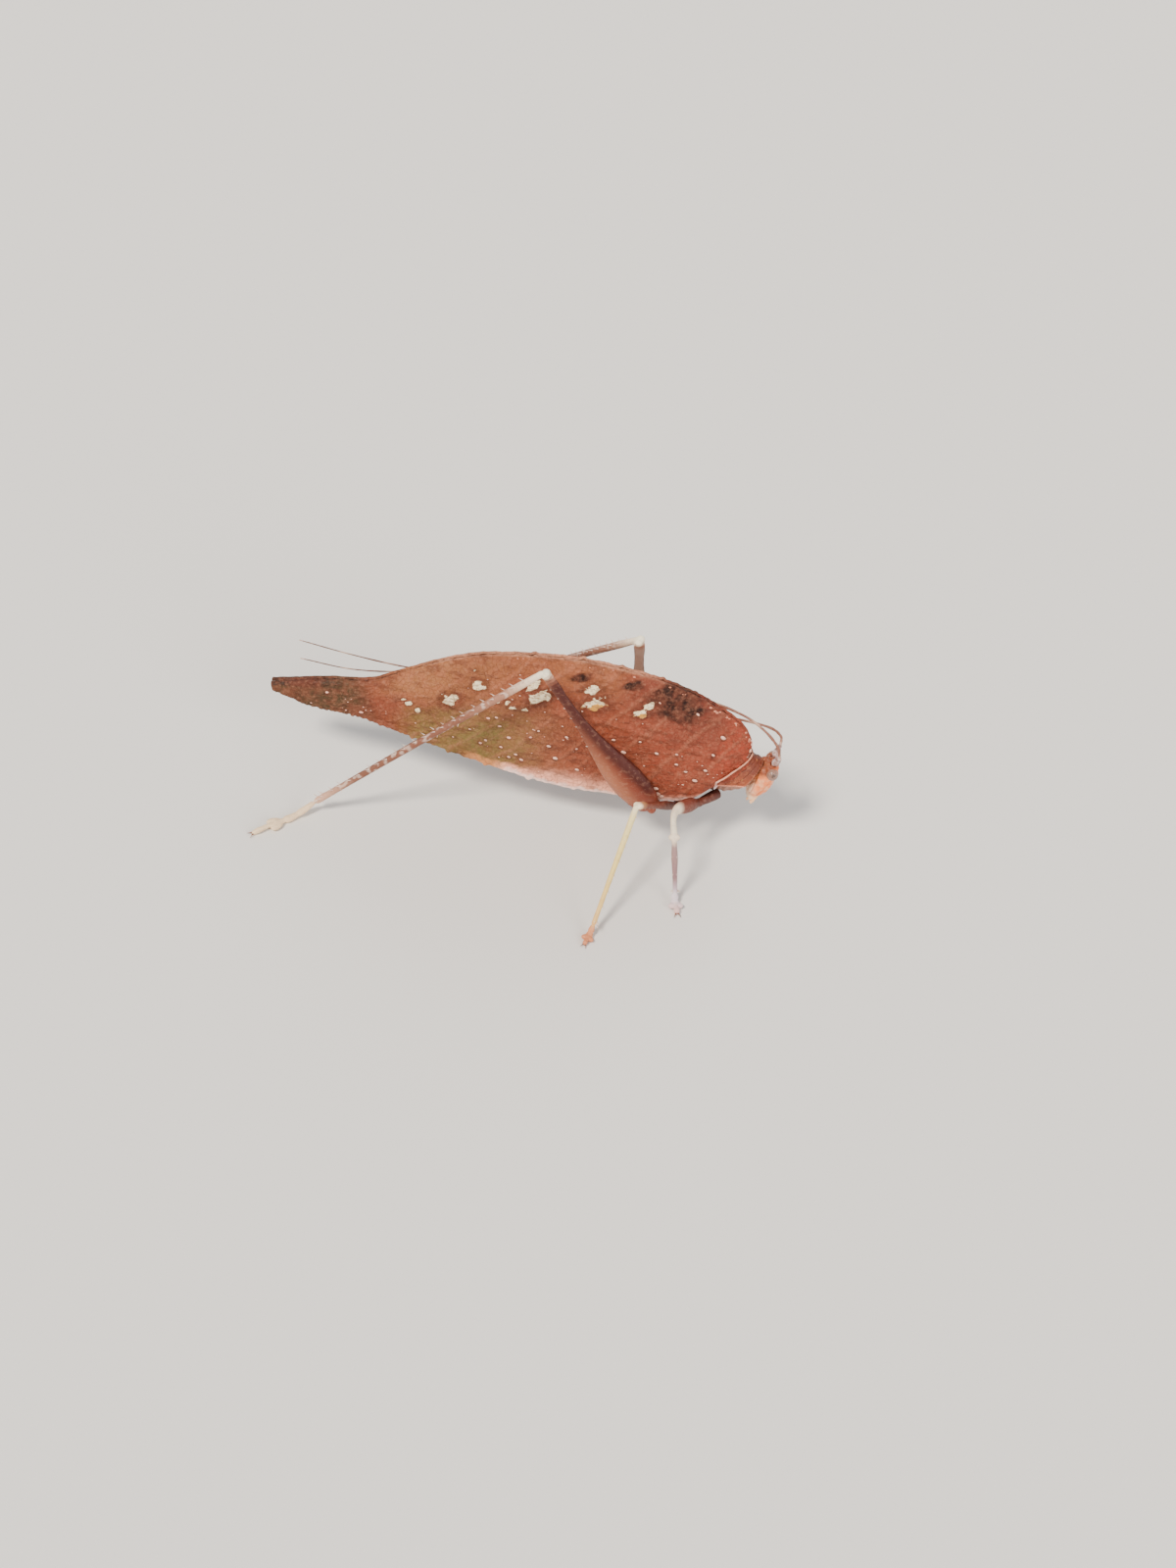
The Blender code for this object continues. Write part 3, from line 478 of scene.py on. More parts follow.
def relief(tree, shader, layers):
    """Fine relief: each layer is a height and its depth in millimetres."""
    normal = None
    for height, depth in layers:
        inputs = {"Height": height, "Distance": depth * MM, "Strength": 1.0}
        if normal is not None:
            inputs["Normal"] = normal
        normal = node(tree, "Bump", inputs).outputs[0]
    tree.links.new(normal, shader.inputs["Normal"])


def net(tree, place, size, width):
    """Height of a net of fine raised veinlets with meshes of this size."""
    mesh = node(tree, "TexVoronoi", {"Vector": place, "Scale": per_mm(size)}, feature="DISTANCE_TO_EDGE")
    return node(tree, "MapRange", {"Value": mesh.outputs["Distance"], "From Min": 0.0, "From Max": width,
                                   "To Min": 1.0, "To Max": 0.0}, interpolation_type="SMOOTHSTEP").outputs[0]


def frayed(tree, mask, cloud):
    """A soft painted mask torn at its edge by a cloudy texture."""
    mixed = node(tree, "Math", {0: cloud, 1: FRAY_DEPTH, 2: mask}, operation="MULTIPLY_ADD").outputs[0]
    return node(tree, "MapRange", {"Value": mixed, "From Min": FRAY_START, "From Max": FRAY_END},
                interpolation_type="SMOOTHSTEP").outputs[0]


def wing_material():
    """Leathery fore wing, dull as a dry leaf: rust brown cuticle, lichen-like patches and a faint gloss."""
    material, tree, shader, place = start_material("leaf_wing_cuticle", 0.60, 0.20)
    wavy = node(tree, "TexNoise", {"Vector": place, "Scale": per_mm(1.6), "Detail": 2.0}).outputs["Color"]
    bent = node(tree, "Mix", {0: NET_WANDER, 4: place, 5: wavy}, data_type="VECTOR").outputs[1]
    ground = node(tree, "Attribute", attribute_name="tint").outputs["Color"]
    painted = node(tree, "Attribute", attribute_name="patches").outputs["Color"]
    pale, yellow, white_edge = node(tree, "SeparateColor", {0: painted}).outputs
    blotch = grain_mask(tree, place, 5.0, 0.40, 0.66)
    mottle = grain_mask(tree, bent, 1.3, 0.42, 0.62)
    fine = grain_mask(tree, place, 0.40, 0.45, 0.70)
    streak = grain_mask(tree, place, 0.70, 0.50, 0.64, 4.0, (0.32, 1.0, 1.0))
    fleck = grain_mask(tree, place, 0.30, 0.53, 0.60)
    cloud = node(tree, "TexNoise", {"Vector": place, "Scale": per_mm(0.8), "Detail": 5.0,
                                    "Roughness": 0.65}).outputs[0]
    torn_pale = frayed(tree, pale, cloud)
    veinlets = net(tree, bent, 0.62, 0.10)
    shown = coats(tree, ground, (
        (mottle, "#A9604A", 0.22), (blotch, "#6A3222", 0.32), (streak, "#4E261A", 0.45),
        (fine, "#C08468", 0.20), (veinlets, "#62301F", 0.28), (white_edge, "#F8D8CC", 1.0),
        (torn_pale, "#FBEAC2", 1.0)))
    scratch = grain_mask(tree, place, 0.36, 0.50, 0.60, 4.0, (0.45, 1.0, 1.3))
    flecks = node(tree, "Math", {0: torn_pale, 1: fleck}, operation="MULTIPLY").outputs[0]
    scratches = node(tree, "Math", {0: torn_pale, 1: scratch}, operation="MULTIPLY").outputs[0]
    shown = coats(tree, shown, ((frayed(tree, yellow, cloud), "#D9962E", 0.95), (scratches, "#94664A", 0.62),
                                (flecks, "#B98A4A", 0.55)))
    tree.links.new(shown, shader.inputs["Base Color"])
    gloss = node(tree, "MapRange", {"Value": mottle, "To Min": 0.50, "To Max": 0.66}).outputs[0]
    tree.links.new(gloss, shader.inputs["Roughness"])
    relief(tree, shader, ((veinlets, 0.03), (fine, 0.035), (streak, 0.03)))
    return material


def tinted_material(name, roughness, specular, dark, pale, size, pit, strength=0.40, **sockets):
    """Insect cuticle that takes its main colour from the mesh's paint, with its own mottling and pits."""
    material, tree, shader, place = start_material(name, roughness, specular, **sockets)
    paint_on = node(tree, "Attribute", attribute_name="tint").outputs["Color"]
    pale_mask = grain_mask(tree, place, size * 0.6, 0.52, 0.66, stretch=(0.8, 1.3, 1.0))
    shown = coats(tree, paint_on, ((grain_mask(tree, place, size, 0.50, 0.68), dark, strength),
                                   (pale_mask, pale, strength)))
    tree.links.new(shown, shader.inputs["Base Color"])
    relief(tree, shader, ((net(tree, place, pit, 0.25), pit * 0.05),
                          (grain_mask(tree, place, pit * 0.5, 0.35, 0.7), pit * 0.05)))
    return material


def plain_cuticle(name, code, dark, roughness, size, **sockets):
    """One-coloured horny cuticle with soft darker mottling."""
    material, tree, shader, place = start_material(name, roughness, 0.4, **sockets)
    shown = coats(tree, code, ((grain_mask(tree, place, size, 0.40, 0.70), dark, 0.7),))
    tree.links.new(shown, shader.inputs["Base Color"])
    relief(tree, shader, ((grain_mask(tree, place, size * 0.4, 0.3, 0.7), size * 0.03),))
    return material


WING = wing_material()

# Wax: pale, soft-edged beads that catch a little light
GRAIN = plain_cuticle("wing_grain_wax", "#F0BEA8", "#C88670", 0.4, 0.5)

# Horny warts: duller than the wax, and nearly of the wing's own colour
WART = plain_cuticle("crest_wart_cuticle", "#D58E72", "#A6583E", 0.5, 0.6)

# Thick granular cuticle: each grain has a small glint, the furrows stay dull
SHIELD = tinted_material("granular_shield_cuticle", 0.50, 0.35, "#6B3020", "#C97C54", 0.9, 0.35, 0.30)

# Thin smooth cuticle: a satin sheen over pale flesh colours
FACE = tinted_material("smooth_face_cuticle", 0.42, 0.35, "#DE7040", "#FFC494", 0.5, 0.16, 0.18)

# Soft skin between harder plates: matt and mottled
BODY = tinted_material("soft_body_cuticle", 0.48, 0.4, "#6C3020", "#C88A6C", 1.2, 0.30)

# Hard tube-like cuticle of the limbs: finely pitted, with a long faint gloss
LEG = tinted_material("leg_cuticle", 0.45, 0.35, "#6E3A28", "#D0A084", 0.8, 0.25, 0.11)

# Pale horn, polished at the tips
SPINE = plain_cuticle("spine_horn", "#EAD3C4", "#B98C76", 0.40, 0.8)

# Dark horn: the hardest and shiniest part of the foot
CLAW = plain_cuticle("claw_horn", "#7E4C34", "#3A1E14", 0.28, 0.5)

# Ringed, slightly hairy cuticle: a dull thread
FEELER = tinted_material("feeler_cuticle", 0.45, 0.4, "#7E4A38", "#D9B49C", 0.8, 0.12, 0.25)

# Clear lens cuticle: a wet-looking gloss. Its facets are drawn coarser than life, so that they show
EYE_LENS = tinted_material("compound_eye_lens", 0.18, 0.5, "#4A342C", "#B89A8E", 0.25, 0.10, Coat_Weight=0.3)

# Dry parchment-like membrane, dull on its folds
FAN = tinted_material("pleated_fan_membrane", 0.4, 0.4, "#8A6650", "#D8C0A4", 1.6, 0.4)


# Fore wings

CRESTS = smooth_points([(x, 0, z) for x, z in CREST], OUTLINE_SAMPLES)
HEMS = smooth_points(HEM, OUTLINE_SAMPLES)


def wing_surface(along, across, sign, lift=0.0):
    """Points of the tent-shaped wing from 0 at the crest to 1 at the hem, lifted off it by so many mm."""
    slanted = along + SIDE_VEIN_SLANT * (across - MIDRIB) * np.sin(math.pi * along)
    crest = read(CRESTS, slanted)
    hem = read(HEMS, slanted)
    closing = (CREST_OFFSET - TOUCHING_OFFSET) * step(0.10, 0.0, across)
    offset = CREST_OFFSET - closing + (hem[:, 1] - CREST_OFFSET) * np.sin(across * math.pi / 2)
    x = crest[:, 0] + (hem[:, 0] - crest[:, 0]) * across
    z = crest[:, 2] + (hem[:, 2] - crest[:, 2]) * across
    return np.stack((x, sign * (offset + lift), z), axis=1)


def wing_point(along, across, sign, lift=0.0):
    """One point of the wing."""
    return wing_surface(np.array([along]), np.array([across]), sign, lift)[0]


def draws_for(use, sign):
    """Random draws for one use on one wing, so that no use changes another's."""
    return random.Random(SEEDS[use] + (sign > 0))


def shifted(draw, x, z, reach):
    """A place moved by a random draw of up to this reach in x, and then in z."""
    x += draw.uniform(-reach[0], reach[0])
    z += draw.uniform(-reach[1], reach[1])
    return x, z


def patch_masks(points, sign):
    """Soft masks of the pale patches, of the yellow in them, and of the dark blotches and rims."""
    draw = draws_for("patches", sign)
    masks = np.zeros((3, len(points)))
    ragged = rough(points, 0.75, 3.1) * 0.40 + rough(points, 0.32, 8.2) * 0.22
    for x, z, length, height, finish in PATCHES + DARK_BLOTCHES:
        if sign > 0:
            x, z = shifted(draw, x, z, LEFT_PATCH_SHIFT)
        away_x = points[:, 0] - x
        away_z = points[:, 2] - z
        long = away_x * math.cos(PATCH_TILT) + away_z * math.sin(PATCH_TILT)
        high = away_z * math.cos(PATCH_TILT) - away_x * math.sin(PATCH_TILT)
        reach = np.sqrt((long / length) ** 2 + (high / height) ** 2) + ragged
        if finish == "dark":
            masks[2] = np.maximum(masks[2], step(1.45, 0.75, reach - 0.4 * ragged))
            continue
        pale_share, yellow_share = PATCH_FINISHES[finish]
        shown = step(1.35, 0.25, reach)
        low_side = step(0.25, -0.45, high / height + ragged * 0.5)
        masks[0] = np.maximum(masks[0], shown * pale_share)
        masks[1] = np.maximum(masks[1], shown * yellow_share * low_side)
        masks[2] = np.maximum(masks[2], step(1.9, 1.0, reach) * 0.55)
    return masks


def grain_places(sign):
    """Along, across and radius of each raised grain of a wing: large ones listed, small ones drawn."""
    draw = draws_for("grains", sign)
    grid = np.meshgrid(np.linspace(0.01, 0.98, 260), np.linspace(0.02, 0.97, 90))
    along, across = (shares.ravel() for shares in grid)
    sample = wing_surface(along, across, sign)
    places = []
    for x, z, radius in GRAINS:
        if sign > 0:
            x, z = shifted(draw, x, z, LEFT_GRAIN_SHIFT)
        nearest = np.argmin((sample[:, 0] - x) ** 2 + (sample[:, 2] - z) ** 2)
        places.append((along[nearest], across[nearest], radius * GRAIN_SHRINK))
    while len(places) < len(GRAINS) + SMALL_GRAINS:
        place = (draw.uniform(0.03, 0.93), draw.uniform(0.08, 0.93), draw.uniform(0.06, 0.11))
        # Fewer small grains towards the crest and towards the tip
        if draw.random() < (1.0 if place[1] > 0.45 else 0.4) * (1.0 if place[0] < 0.62 else 0.35):
            places.append(place)
    return places


def ridge(value, middle, width):
    """A bell-shaped rise to 1 at the middle."""
    return np.exp(-((value - middle) / width) ** 2)


def wing_veins(plain, along, across):
    """How far each point is on a side vein, and on one of the finer forks between them, from 0 to 1."""
    bend = 0.006 * rough(plain, 4.0, 5.0)
    from_midrib = np.abs(across - MIDRIB)
    veins = np.zeros(len(along))
    forks = np.zeros(len(along))
    for vein in SIDE_VEINS:
        veins = np.maximum(veins, ridge(along + bend, vein, VEIN_WIDTH))
        fork = vein + SIDE_VEIN_STEP / 2 + 0.03 * (from_midrib - 0.3)
        forks = np.maximum(forks, ridge(along + 2 * bend, fork, FORK_WIDTH))
    return veins, forks * step(0.12, 0.3, from_midrib)


def wing_relief(plain, along, across, veins, forks, pale):
    """Height of the wing's face: its veins and their net, the crusts of the patches, and a gentle warp."""
    flat_place = np.stack((along * WING_SPAN, across * WING_HEIGHT, np.zeros(len(along))), axis=1)
    meshes = 1 - step(0.0, 0.22, cells(flat_place, VEIN_NET_SIZE))
    midrib = ridge(across, MIDRIB, MIDRIB_WIDTH)
    lift = (1 - along ** 3) * (MIDRIB_HEIGHT * midrib + VEIN_HEIGHT * veins + FORK_HEIGHT * forks)
    lift += NET_HEIGHT * meshes + CRUST_HEIGHT * step(0.5, 0.8, pale)
    return lift + 0.10 * rough(plain, 3.6, 1.0) * np.sin(math.pi * across) + 0.03 * rough(plain, 0.9, 2.0)


def wing_margin(points, along, across, veins):
    """Moves the wing's edges: teeth on crest and hem, and the root's lap under the shield."""
    arch = np.sin(math.pi * along)
    teeth = VEIN_TOOTH * veins * arch ** 2
    for count, height in TEETH:
        teeth += arch * np.abs(np.sin(along * math.pi * count)) * height
    points[:, 0] += ROOT_LAP * step(0.03, 0.0, along) * between(0.05, 0.3, 0.8, 1.0, across)
    points[:, 2] += step(0.03, 0.0, across) * teeth * 0.6 - step(0.97, 1.0, across) * teeth
    return points


def grain_rings(plain, places, sign):
    """Dark rings a little below the raised grains, their outlines and painted shade; and the number of the
    point under each grain.
    """
    rings = np.zeros(len(plain))
    nearest = []
    for along, across, radius in places:
        middle = wing_point(along, across, sign)
        away = np.hypot(plain[:, 0] - middle[0], plain[:, 2] - middle[2] + 0.08)
        nearest.append(np.argmin(away))
        rings = np.maximum(rings, step(radius * 1.1 + 0.22, radius * 1.1, away) * min(1.0, radius * 5))
    return rings, nearest


def wing_edge(low, x):
    """The worn white line along the lower edge of the wing, fainter at the front."""
    front = step(12, 16, x)
    return step(0.975 - 0.03 * front, 0.990, low) * step(-3, 0, x) * (1 - 0.45 * front)


def wing_colours(plain, along, across, low, vein_lines, dark, rings):
    """Colours of the wing's regions: x in mm, across and low from 0 at the crest to 1 at the hem."""
    x = plain[:, 0]
    pink_hem = step(0.95 - 0.15 * step(-3, 8, x), 0.975, low) * between(-3, -1, 12, 15, x)
    front_hem = step(0.90, 0.955, low) * step(12, 15, x)
    orange_hem = step(0.955, 0.985, low) * between(-7.5, -5, -2.5, -1, x)
    # A paler line along the crest: partly its pale rim, partly a painted edge highlight
    crest_line = step(0.012, 0.004, across) * step(0.80, 0.70, along) * step(17, 11, x)
    olive = between(-17, -11, -3.5, 4, x) * step(0.42, 0.75, across + 0.06 * rough(plain, 2.5, 6.0))
    olive_brown = between(-15, -9, -1, 9, x) * step(0.26, 0.52, across + 0.06 * rough(plain, 2.5, 2.0))
    tail = step(-14.5, -21.5, x + 2 * rough(plain, 3.0, 7.0))
    front = step(9, 20, x + 3 * rough(plain, 3.0, 9.0))
    tan = between(-20, -14, -6, 1, x) * step(0.60, 0.25, across)
    tan = np.maximum(tan, 0.55 * between(-20, -14, 8, 14, x) * step(0.34, 0.10, across))
    dusk = between(8, 14, 22, 24.5, x) * step(0.50, 0.12, across + 0.08 * rough(plain, 2.0, 3.0))
    red_front = step(22.0, 25.0, x + 0.6 * rough(plain, 1.5, 5.0))
    black = step(-21, -26, x) * step(0.34, 0.05, across)
    return ((olive_brown * 0.50, "#76603A"), (olive * 0.85, "#776A36"), (tail * 0.95, "#3E3420"),
            (front * 0.75, "#8C3E2A"), (tan * 0.80, "#A06A42"), (dusk * 0.80, "#6A3024"),
            (red_front * 0.6, "#9E3A24"), (vein_lines, "#B8775A"), (dark, "#1E0C07"),
            (rings * 0.85, "#3A1812"), (black * 0.9, "#241610"), (front_hem * 0.75, "#DE8C74"),
            (pink_hem, "#FFB294"), (orange_hem * 0.8, "#D98C52"), (crest_line * 0.7, "#CC9070"))


def make_wing(side, sign):
    """A leathery sheet with raised veins, a toothed margin, and masks for its markings."""
    sheet = sheet_of(WING_LENGTHWAYS, WING_ACROSS, sign > 0)
    flat = corners(sheet)
    along = np.clip(flat[:, 0] + 0.5, 0, 1)
    across = np.clip(flat[:, 1] + 0.5, 0, 1)
    plain = wing_surface(along, across, sign)
    veins, forks = wing_veins(plain, along, across)
    pale, yellow, dark = patch_masks(plain, sign)
    lift = wing_relief(plain, along, across, veins, forks, pale)
    hem_flare = HEM_FLARE * step(0.955, 1.0, across) * between(0.22, 0.40, 0.6, 0.85, along)
    root_tuck = ROOT_TUCK * step(0.045, 0.0, along) * step(0.0, 0.4, across)
    points = wing_surface(along, across, sign, lift + hem_flare - root_tuck)
    move_corners(sheet, wing_margin(points, along, across, veins))
    places = grain_places(sign)
    rings, under_grains = grain_rings(plain, places, sign)
    low = across + 0.010 * rough(plain, 1.1, 4.0) + 0.008 * rough(plain, 0.45, 6.0)
    vein_lines = np.maximum(veins * 0.30, forks * 0.22) * (1 - along ** 3)
    dark *= step(0.6, 0.4, pale)
    tint(sheet, "#8A442D", wing_colours(plain, along, across, low, vein_lines, dark, rings))
    paint(sheet, "patches", np.stack((pale, yellow, wing_edge(low, plain[:, 0]) * 0.8), axis=1))
    modified(sheet, "SOLIDIFY", thickness=WING_THICKNESS, offset=0.0)
    finished(sheet, f"wing_{side}", WING, [f"fore_wing_{side}"])
    make_grains(side, sign, places, lift[under_grains] + WING_THICKNESS / 2)


def grain_model():
    """An oval grain: longer than wide."""
    return added(bpy.ops.mesh.primitive_ico_sphere_add, subdivisions=2, radius=1, scale=(1.4, 0.85, 1))


def make_grains(side, sign, places, heights):
    """Waxy raised grains on the wing's face, and the warts along the front of its crest."""
    frames = []
    warts = []
    draw = draws_for("grain sizes", sign)
    for (along, across, radius), height in zip(places, heights):
        near = wing_surface(np.array([along, along + 0.004, along]),
                            np.array([across, across, across + 0.01]), sign, height - 0.02)
        first, ahead, down = (Vector(point) for point in near)
        out = (ahead - first).cross(down - first)
        out *= math.copysign(1, out.y * sign)
        size = radius * draw.uniform(0.80, 1.10)
        lean = ahead - first + (down - first) * draw.uniform(-0.3, 0.1)
        frames.append(set_at(first, out, lean, size, size * 0.55))
    for _ in range(CREST_WARTS):
        along = 0.04 + 0.58 * draw.random() ** 1.6
        place = wing_point(along, draw.uniform(0.004, 0.03), sign, WING_THICKNESS / 2)
        size = draw.uniform(0.06, 0.13) * (1.3 if along < 0.2 else 0.9)
        warts.append(set_at(place, (0, sign, 0.6), (1, 0, 0), size * 1.2, size * 0.8))
    for along, across, size in SHOULDER_BEADS:
        place = wing_point(along, across, sign)
        frames.append(set_at(place, (0.4, sign, 0.3), (1, 0, -1), size, size * 0.7))
    finished(repeated(grain_model(), frames), f"wing_grains_{side}", GRAIN)
    finished(repeated(grain_model(), warts), f"crest_warts_{side}", WART)


# Folded hind wing

FAN_FRONT_X = 21.5
FAN_LENGTH = 35
FAN_LOW_Z = 13.3
FAN_HEIGHT = 3.2
FAN_PLEATS = 6
FAN_PLEAT_DEPTH = 0.3
FAN_THICKNESS = 0.12


def make_fan(side, sign):
    """Folded hind wing: a pleated fan between the fore wings, above the abdomen."""
    fan = sheet_of(60, 24, sign > 0)
    flat = corners(fan)
    along = flat[:, 0] + 0.5
    up = 0.5 - flat[:, 1]
    height = 0.7 + FAN_HEIGHT * np.sin(math.pi * np.minimum(1.0, 0.12 + 0.88 * along)) ** 0.7
    pleat = np.abs((up * FAN_PLEATS) % 2 - 1) * FAN_PLEAT_DEPTH
    points = np.stack((FAN_FRONT_X - FAN_LENGTH * along, sign * (0.52 - 0.1 * along + pleat),
                       FAN_LOW_Z + 0.4 * along + height * up), axis=1)
    move_corners(fan, points)
    modified(fan, "SOLIDIFY", thickness=FAN_THICKNESS, offset=0.0)
    tint(fan, "#B08A6C")
    finished(fan, f"fan_{side}", FAN, [f"hind_wing_{side}"])


# Trunk: upright rings of neck and thorax, each x, middle z, half width, half height

NECK = ((28.4, 9.7, 0.7, 0.7), (27.7, 9.5, 0.95, 1.15), (26.9, 9.25, 1.35, 1.8),
        (25.8, 9.3, 1.60, 2.35), (24.9, 9.5, 1.72, 2.60), (23.8, 9.6, 1.9, 2.7))
THORAX = ((24.3, 9.6, 1.60, 2.40), (23.3, 9.6, 2.15, 3.05), (21.0, 9.6, 2.45, 3.30),
          (18.0, 9.6, 2.50, 3.30), (15.0, 9.7, 2.45, 3.15), (13.6, 9.8, 2.20, 2.90), (12.2, 9.9, 1.9, 2.5))
ABDOMEN_FRONT_X = 13.8
ABDOMEN_REAR_X = -9.1
ABDOMEN_HALF_WIDTH = 2.35
ABDOMEN_HALF_HEIGHT = 2.95
ABDOMEN_SEGMENTS = 9
ABDOMEN_MIDDLE_Z = 9.9
TAIL_Z = 10.4
TRUNK_GRAIN = 0.13
SIDE_PLATE_LINES = (14.6, 16.4, 18.6, 20.4, 22.4)
WING_HINGE = ((25.8, 0, 13.1), (1.75, 1.12, 1.2))

# Valves of the egg blade: name, height above the abdomen's end, colour, node that it replaces
VALVES = (("upper", 0.16, "#9A6044", ["ovipositor"]), ("lower", -0.26, "#8A5038", []))


def stretch_of_trunk(stations, rings):
    """Neck or thorax, as one rounded form through its upright rings."""
    return rod([(x, 0, z) for x, z, _, _ in stations], [height for _, _, _, height in stations],
               [width for _, _, width, _ in stations], sides=40, rings=rings, caps=0.03, blunt=0.3)


def make_abdomen_form():
    """Nine overlapping rings that taper to the rear."""
    shares = np.linspace(0, 1, ABDOMEN_SEGMENTS * 8 + 1)
    inside = (shares * ABDOMEN_SEGMENTS) % 1
    girth = 0.955 + 0.05 * step(0.0, 0.8, inside) - 0.02 * step(0.9, 1.0, inside)
    girth *= 1 - 0.55 * shares ** 1.8
    stations = [(ABDOMEN_FRONT_X + (ABDOMEN_REAR_X - ABDOMEN_FRONT_X) * share, 0,
                 ABDOMEN_MIDDLE_Z + (TAIL_Z - ABDOMEN_MIDDLE_Z) * share) for share in shares]
    return rod(stations, ABDOMEN_HALF_HEIGHT * girth, ABDOMEN_HALF_WIDTH * girth, sides=44, rings=150,
               caps=0.02, blunt=0.5)


def make_trunk():
    """Neck, thorax and abdomen under one skin, with side folds, wrinkles and lines of the side plates."""
    trunk = skin([stretch_of_trunk(NECK, 40), stretch_of_trunk(THORAX, 60), make_abdomen_form(),
                  bulb(*WING_HINGE)], TRUNK_GRAIN, 2)
    points = corners(trunk)
    x, _, z = points.T
    on_abdomen = step(13.4, 12.0, x)
    fold = ridge(z + 0.02 * x, 8.6, 0.22) * on_abdomen
    plates = sum(ridge(x - 0.35 * (z - 9.6), line, 0.12) for line in SIDE_PLATE_LINES) * (1 - on_abdomen)
    wrinkles = np.sin(x * 7.5) * step(23.9, 24.8, x)
    height = 0.05 * wrinkles + 0.03 * rough(points, 0.5, 1.0) - 0.16 * fold - 0.14 * plates
    puffed(trunk, (None, 0, ABDOMEN_MIDDLE_Z), height)
    # The trunk darkens towards its underside: painted shade under the body
    tint(trunk, "#8A4A36", ((step(11.0, 7.0, z), "#5E2C20"), (step(23.5, 25.5, x) * 0.6, "#C08A74"),
                            (step(-0.2, 0.5, rough(points, 1.4, 3.0)) * on_abdomen * 0.55, "#B98A68"),
                            (np.clip(fold + plates, 0, 1) * 0.6, "#3E1E16")))
    finished(trunk, "trunk", BODY, ["neck", "thorax", "abdomen"])


def make_tail_parts():
    """The sickle-shaped egg blade of two valves, finely toothed near the tip, and the two tail feelers."""
    for name, drop, code, nodes in VALVES:
        path = ((ABDOMEN_REAR_X + 1.0, 0, TAIL_Z - 0.3 + drop),
                (ABDOMEN_REAR_X - 4.0, 0, TAIL_Z - 0.12 + drop), (ABDOMEN_REAR_X - 7.7, 0, TAIL_Z + 1.85))
        blade = rod(path, (0.62, 0.62, 0.56, 0.50, 0.37, 0.12), (0.24, 0.22, 0.19, 0.15, 0.08), sides=20,
                    rings=90, caps=0.02)
        points = corners(blade)
        teeth = np.abs(np.sin(points[:, 0] * 11)) * step(-12.5, -15.5, points[:, 0]) * 0.07
        points[:, 2] += np.sign(drop) * teeth
        move_corners(blade, points)
        tint(blade, code)
        finished(blade, f"egg_blade_{name}", BODY, nodes)
    for side, sign in SIDES.items():
        path = ((ABDOMEN_REAR_X + 0.6, sign * 0.7, TAIL_Z + 0.5),
                (ABDOMEN_REAR_X - 1.1, sign * 1.05, TAIL_Z + 0.75),
                (ABDOMEN_REAR_X - 2.2, sign * 0.95, TAIL_Z + 1.1))
        tail_feeler = rod(path, (0.34, 0.33, 0.29, 0.24, 0.14), rings=24)
        tint(tail_feeler, "#A8745A")
        finished(tail_feeler, f"tail_feeler_{side}", BODY, [f"cercus_{side}"])


# Shield behind the head

SHIELD_LENGTHWAYS = 56
SHIELD_ROUND = 120
SHIELD_HALF_WIDTH = 2.60
SHIELD_HEIGHT = 2.60
SHIELD_MIDDLE_Z = 10.9
SHIELD_FRONT_X = 28.95
SHIELD_REAR_X = 27.5
SHIELD_FRONT_RAKE = 1.7
SHIELD_REAR_RAKE = 3.1
SHIELD_FRONT_CURVE = 0.80
SHIELD_FRONT_SPREAD = 86
SHIELD_REAR_SPREAD = 118
SHIELD_LAP = 0.6
SHIELD_THICKNESS = 0.18
SHIELD_GRAIN = 0.42


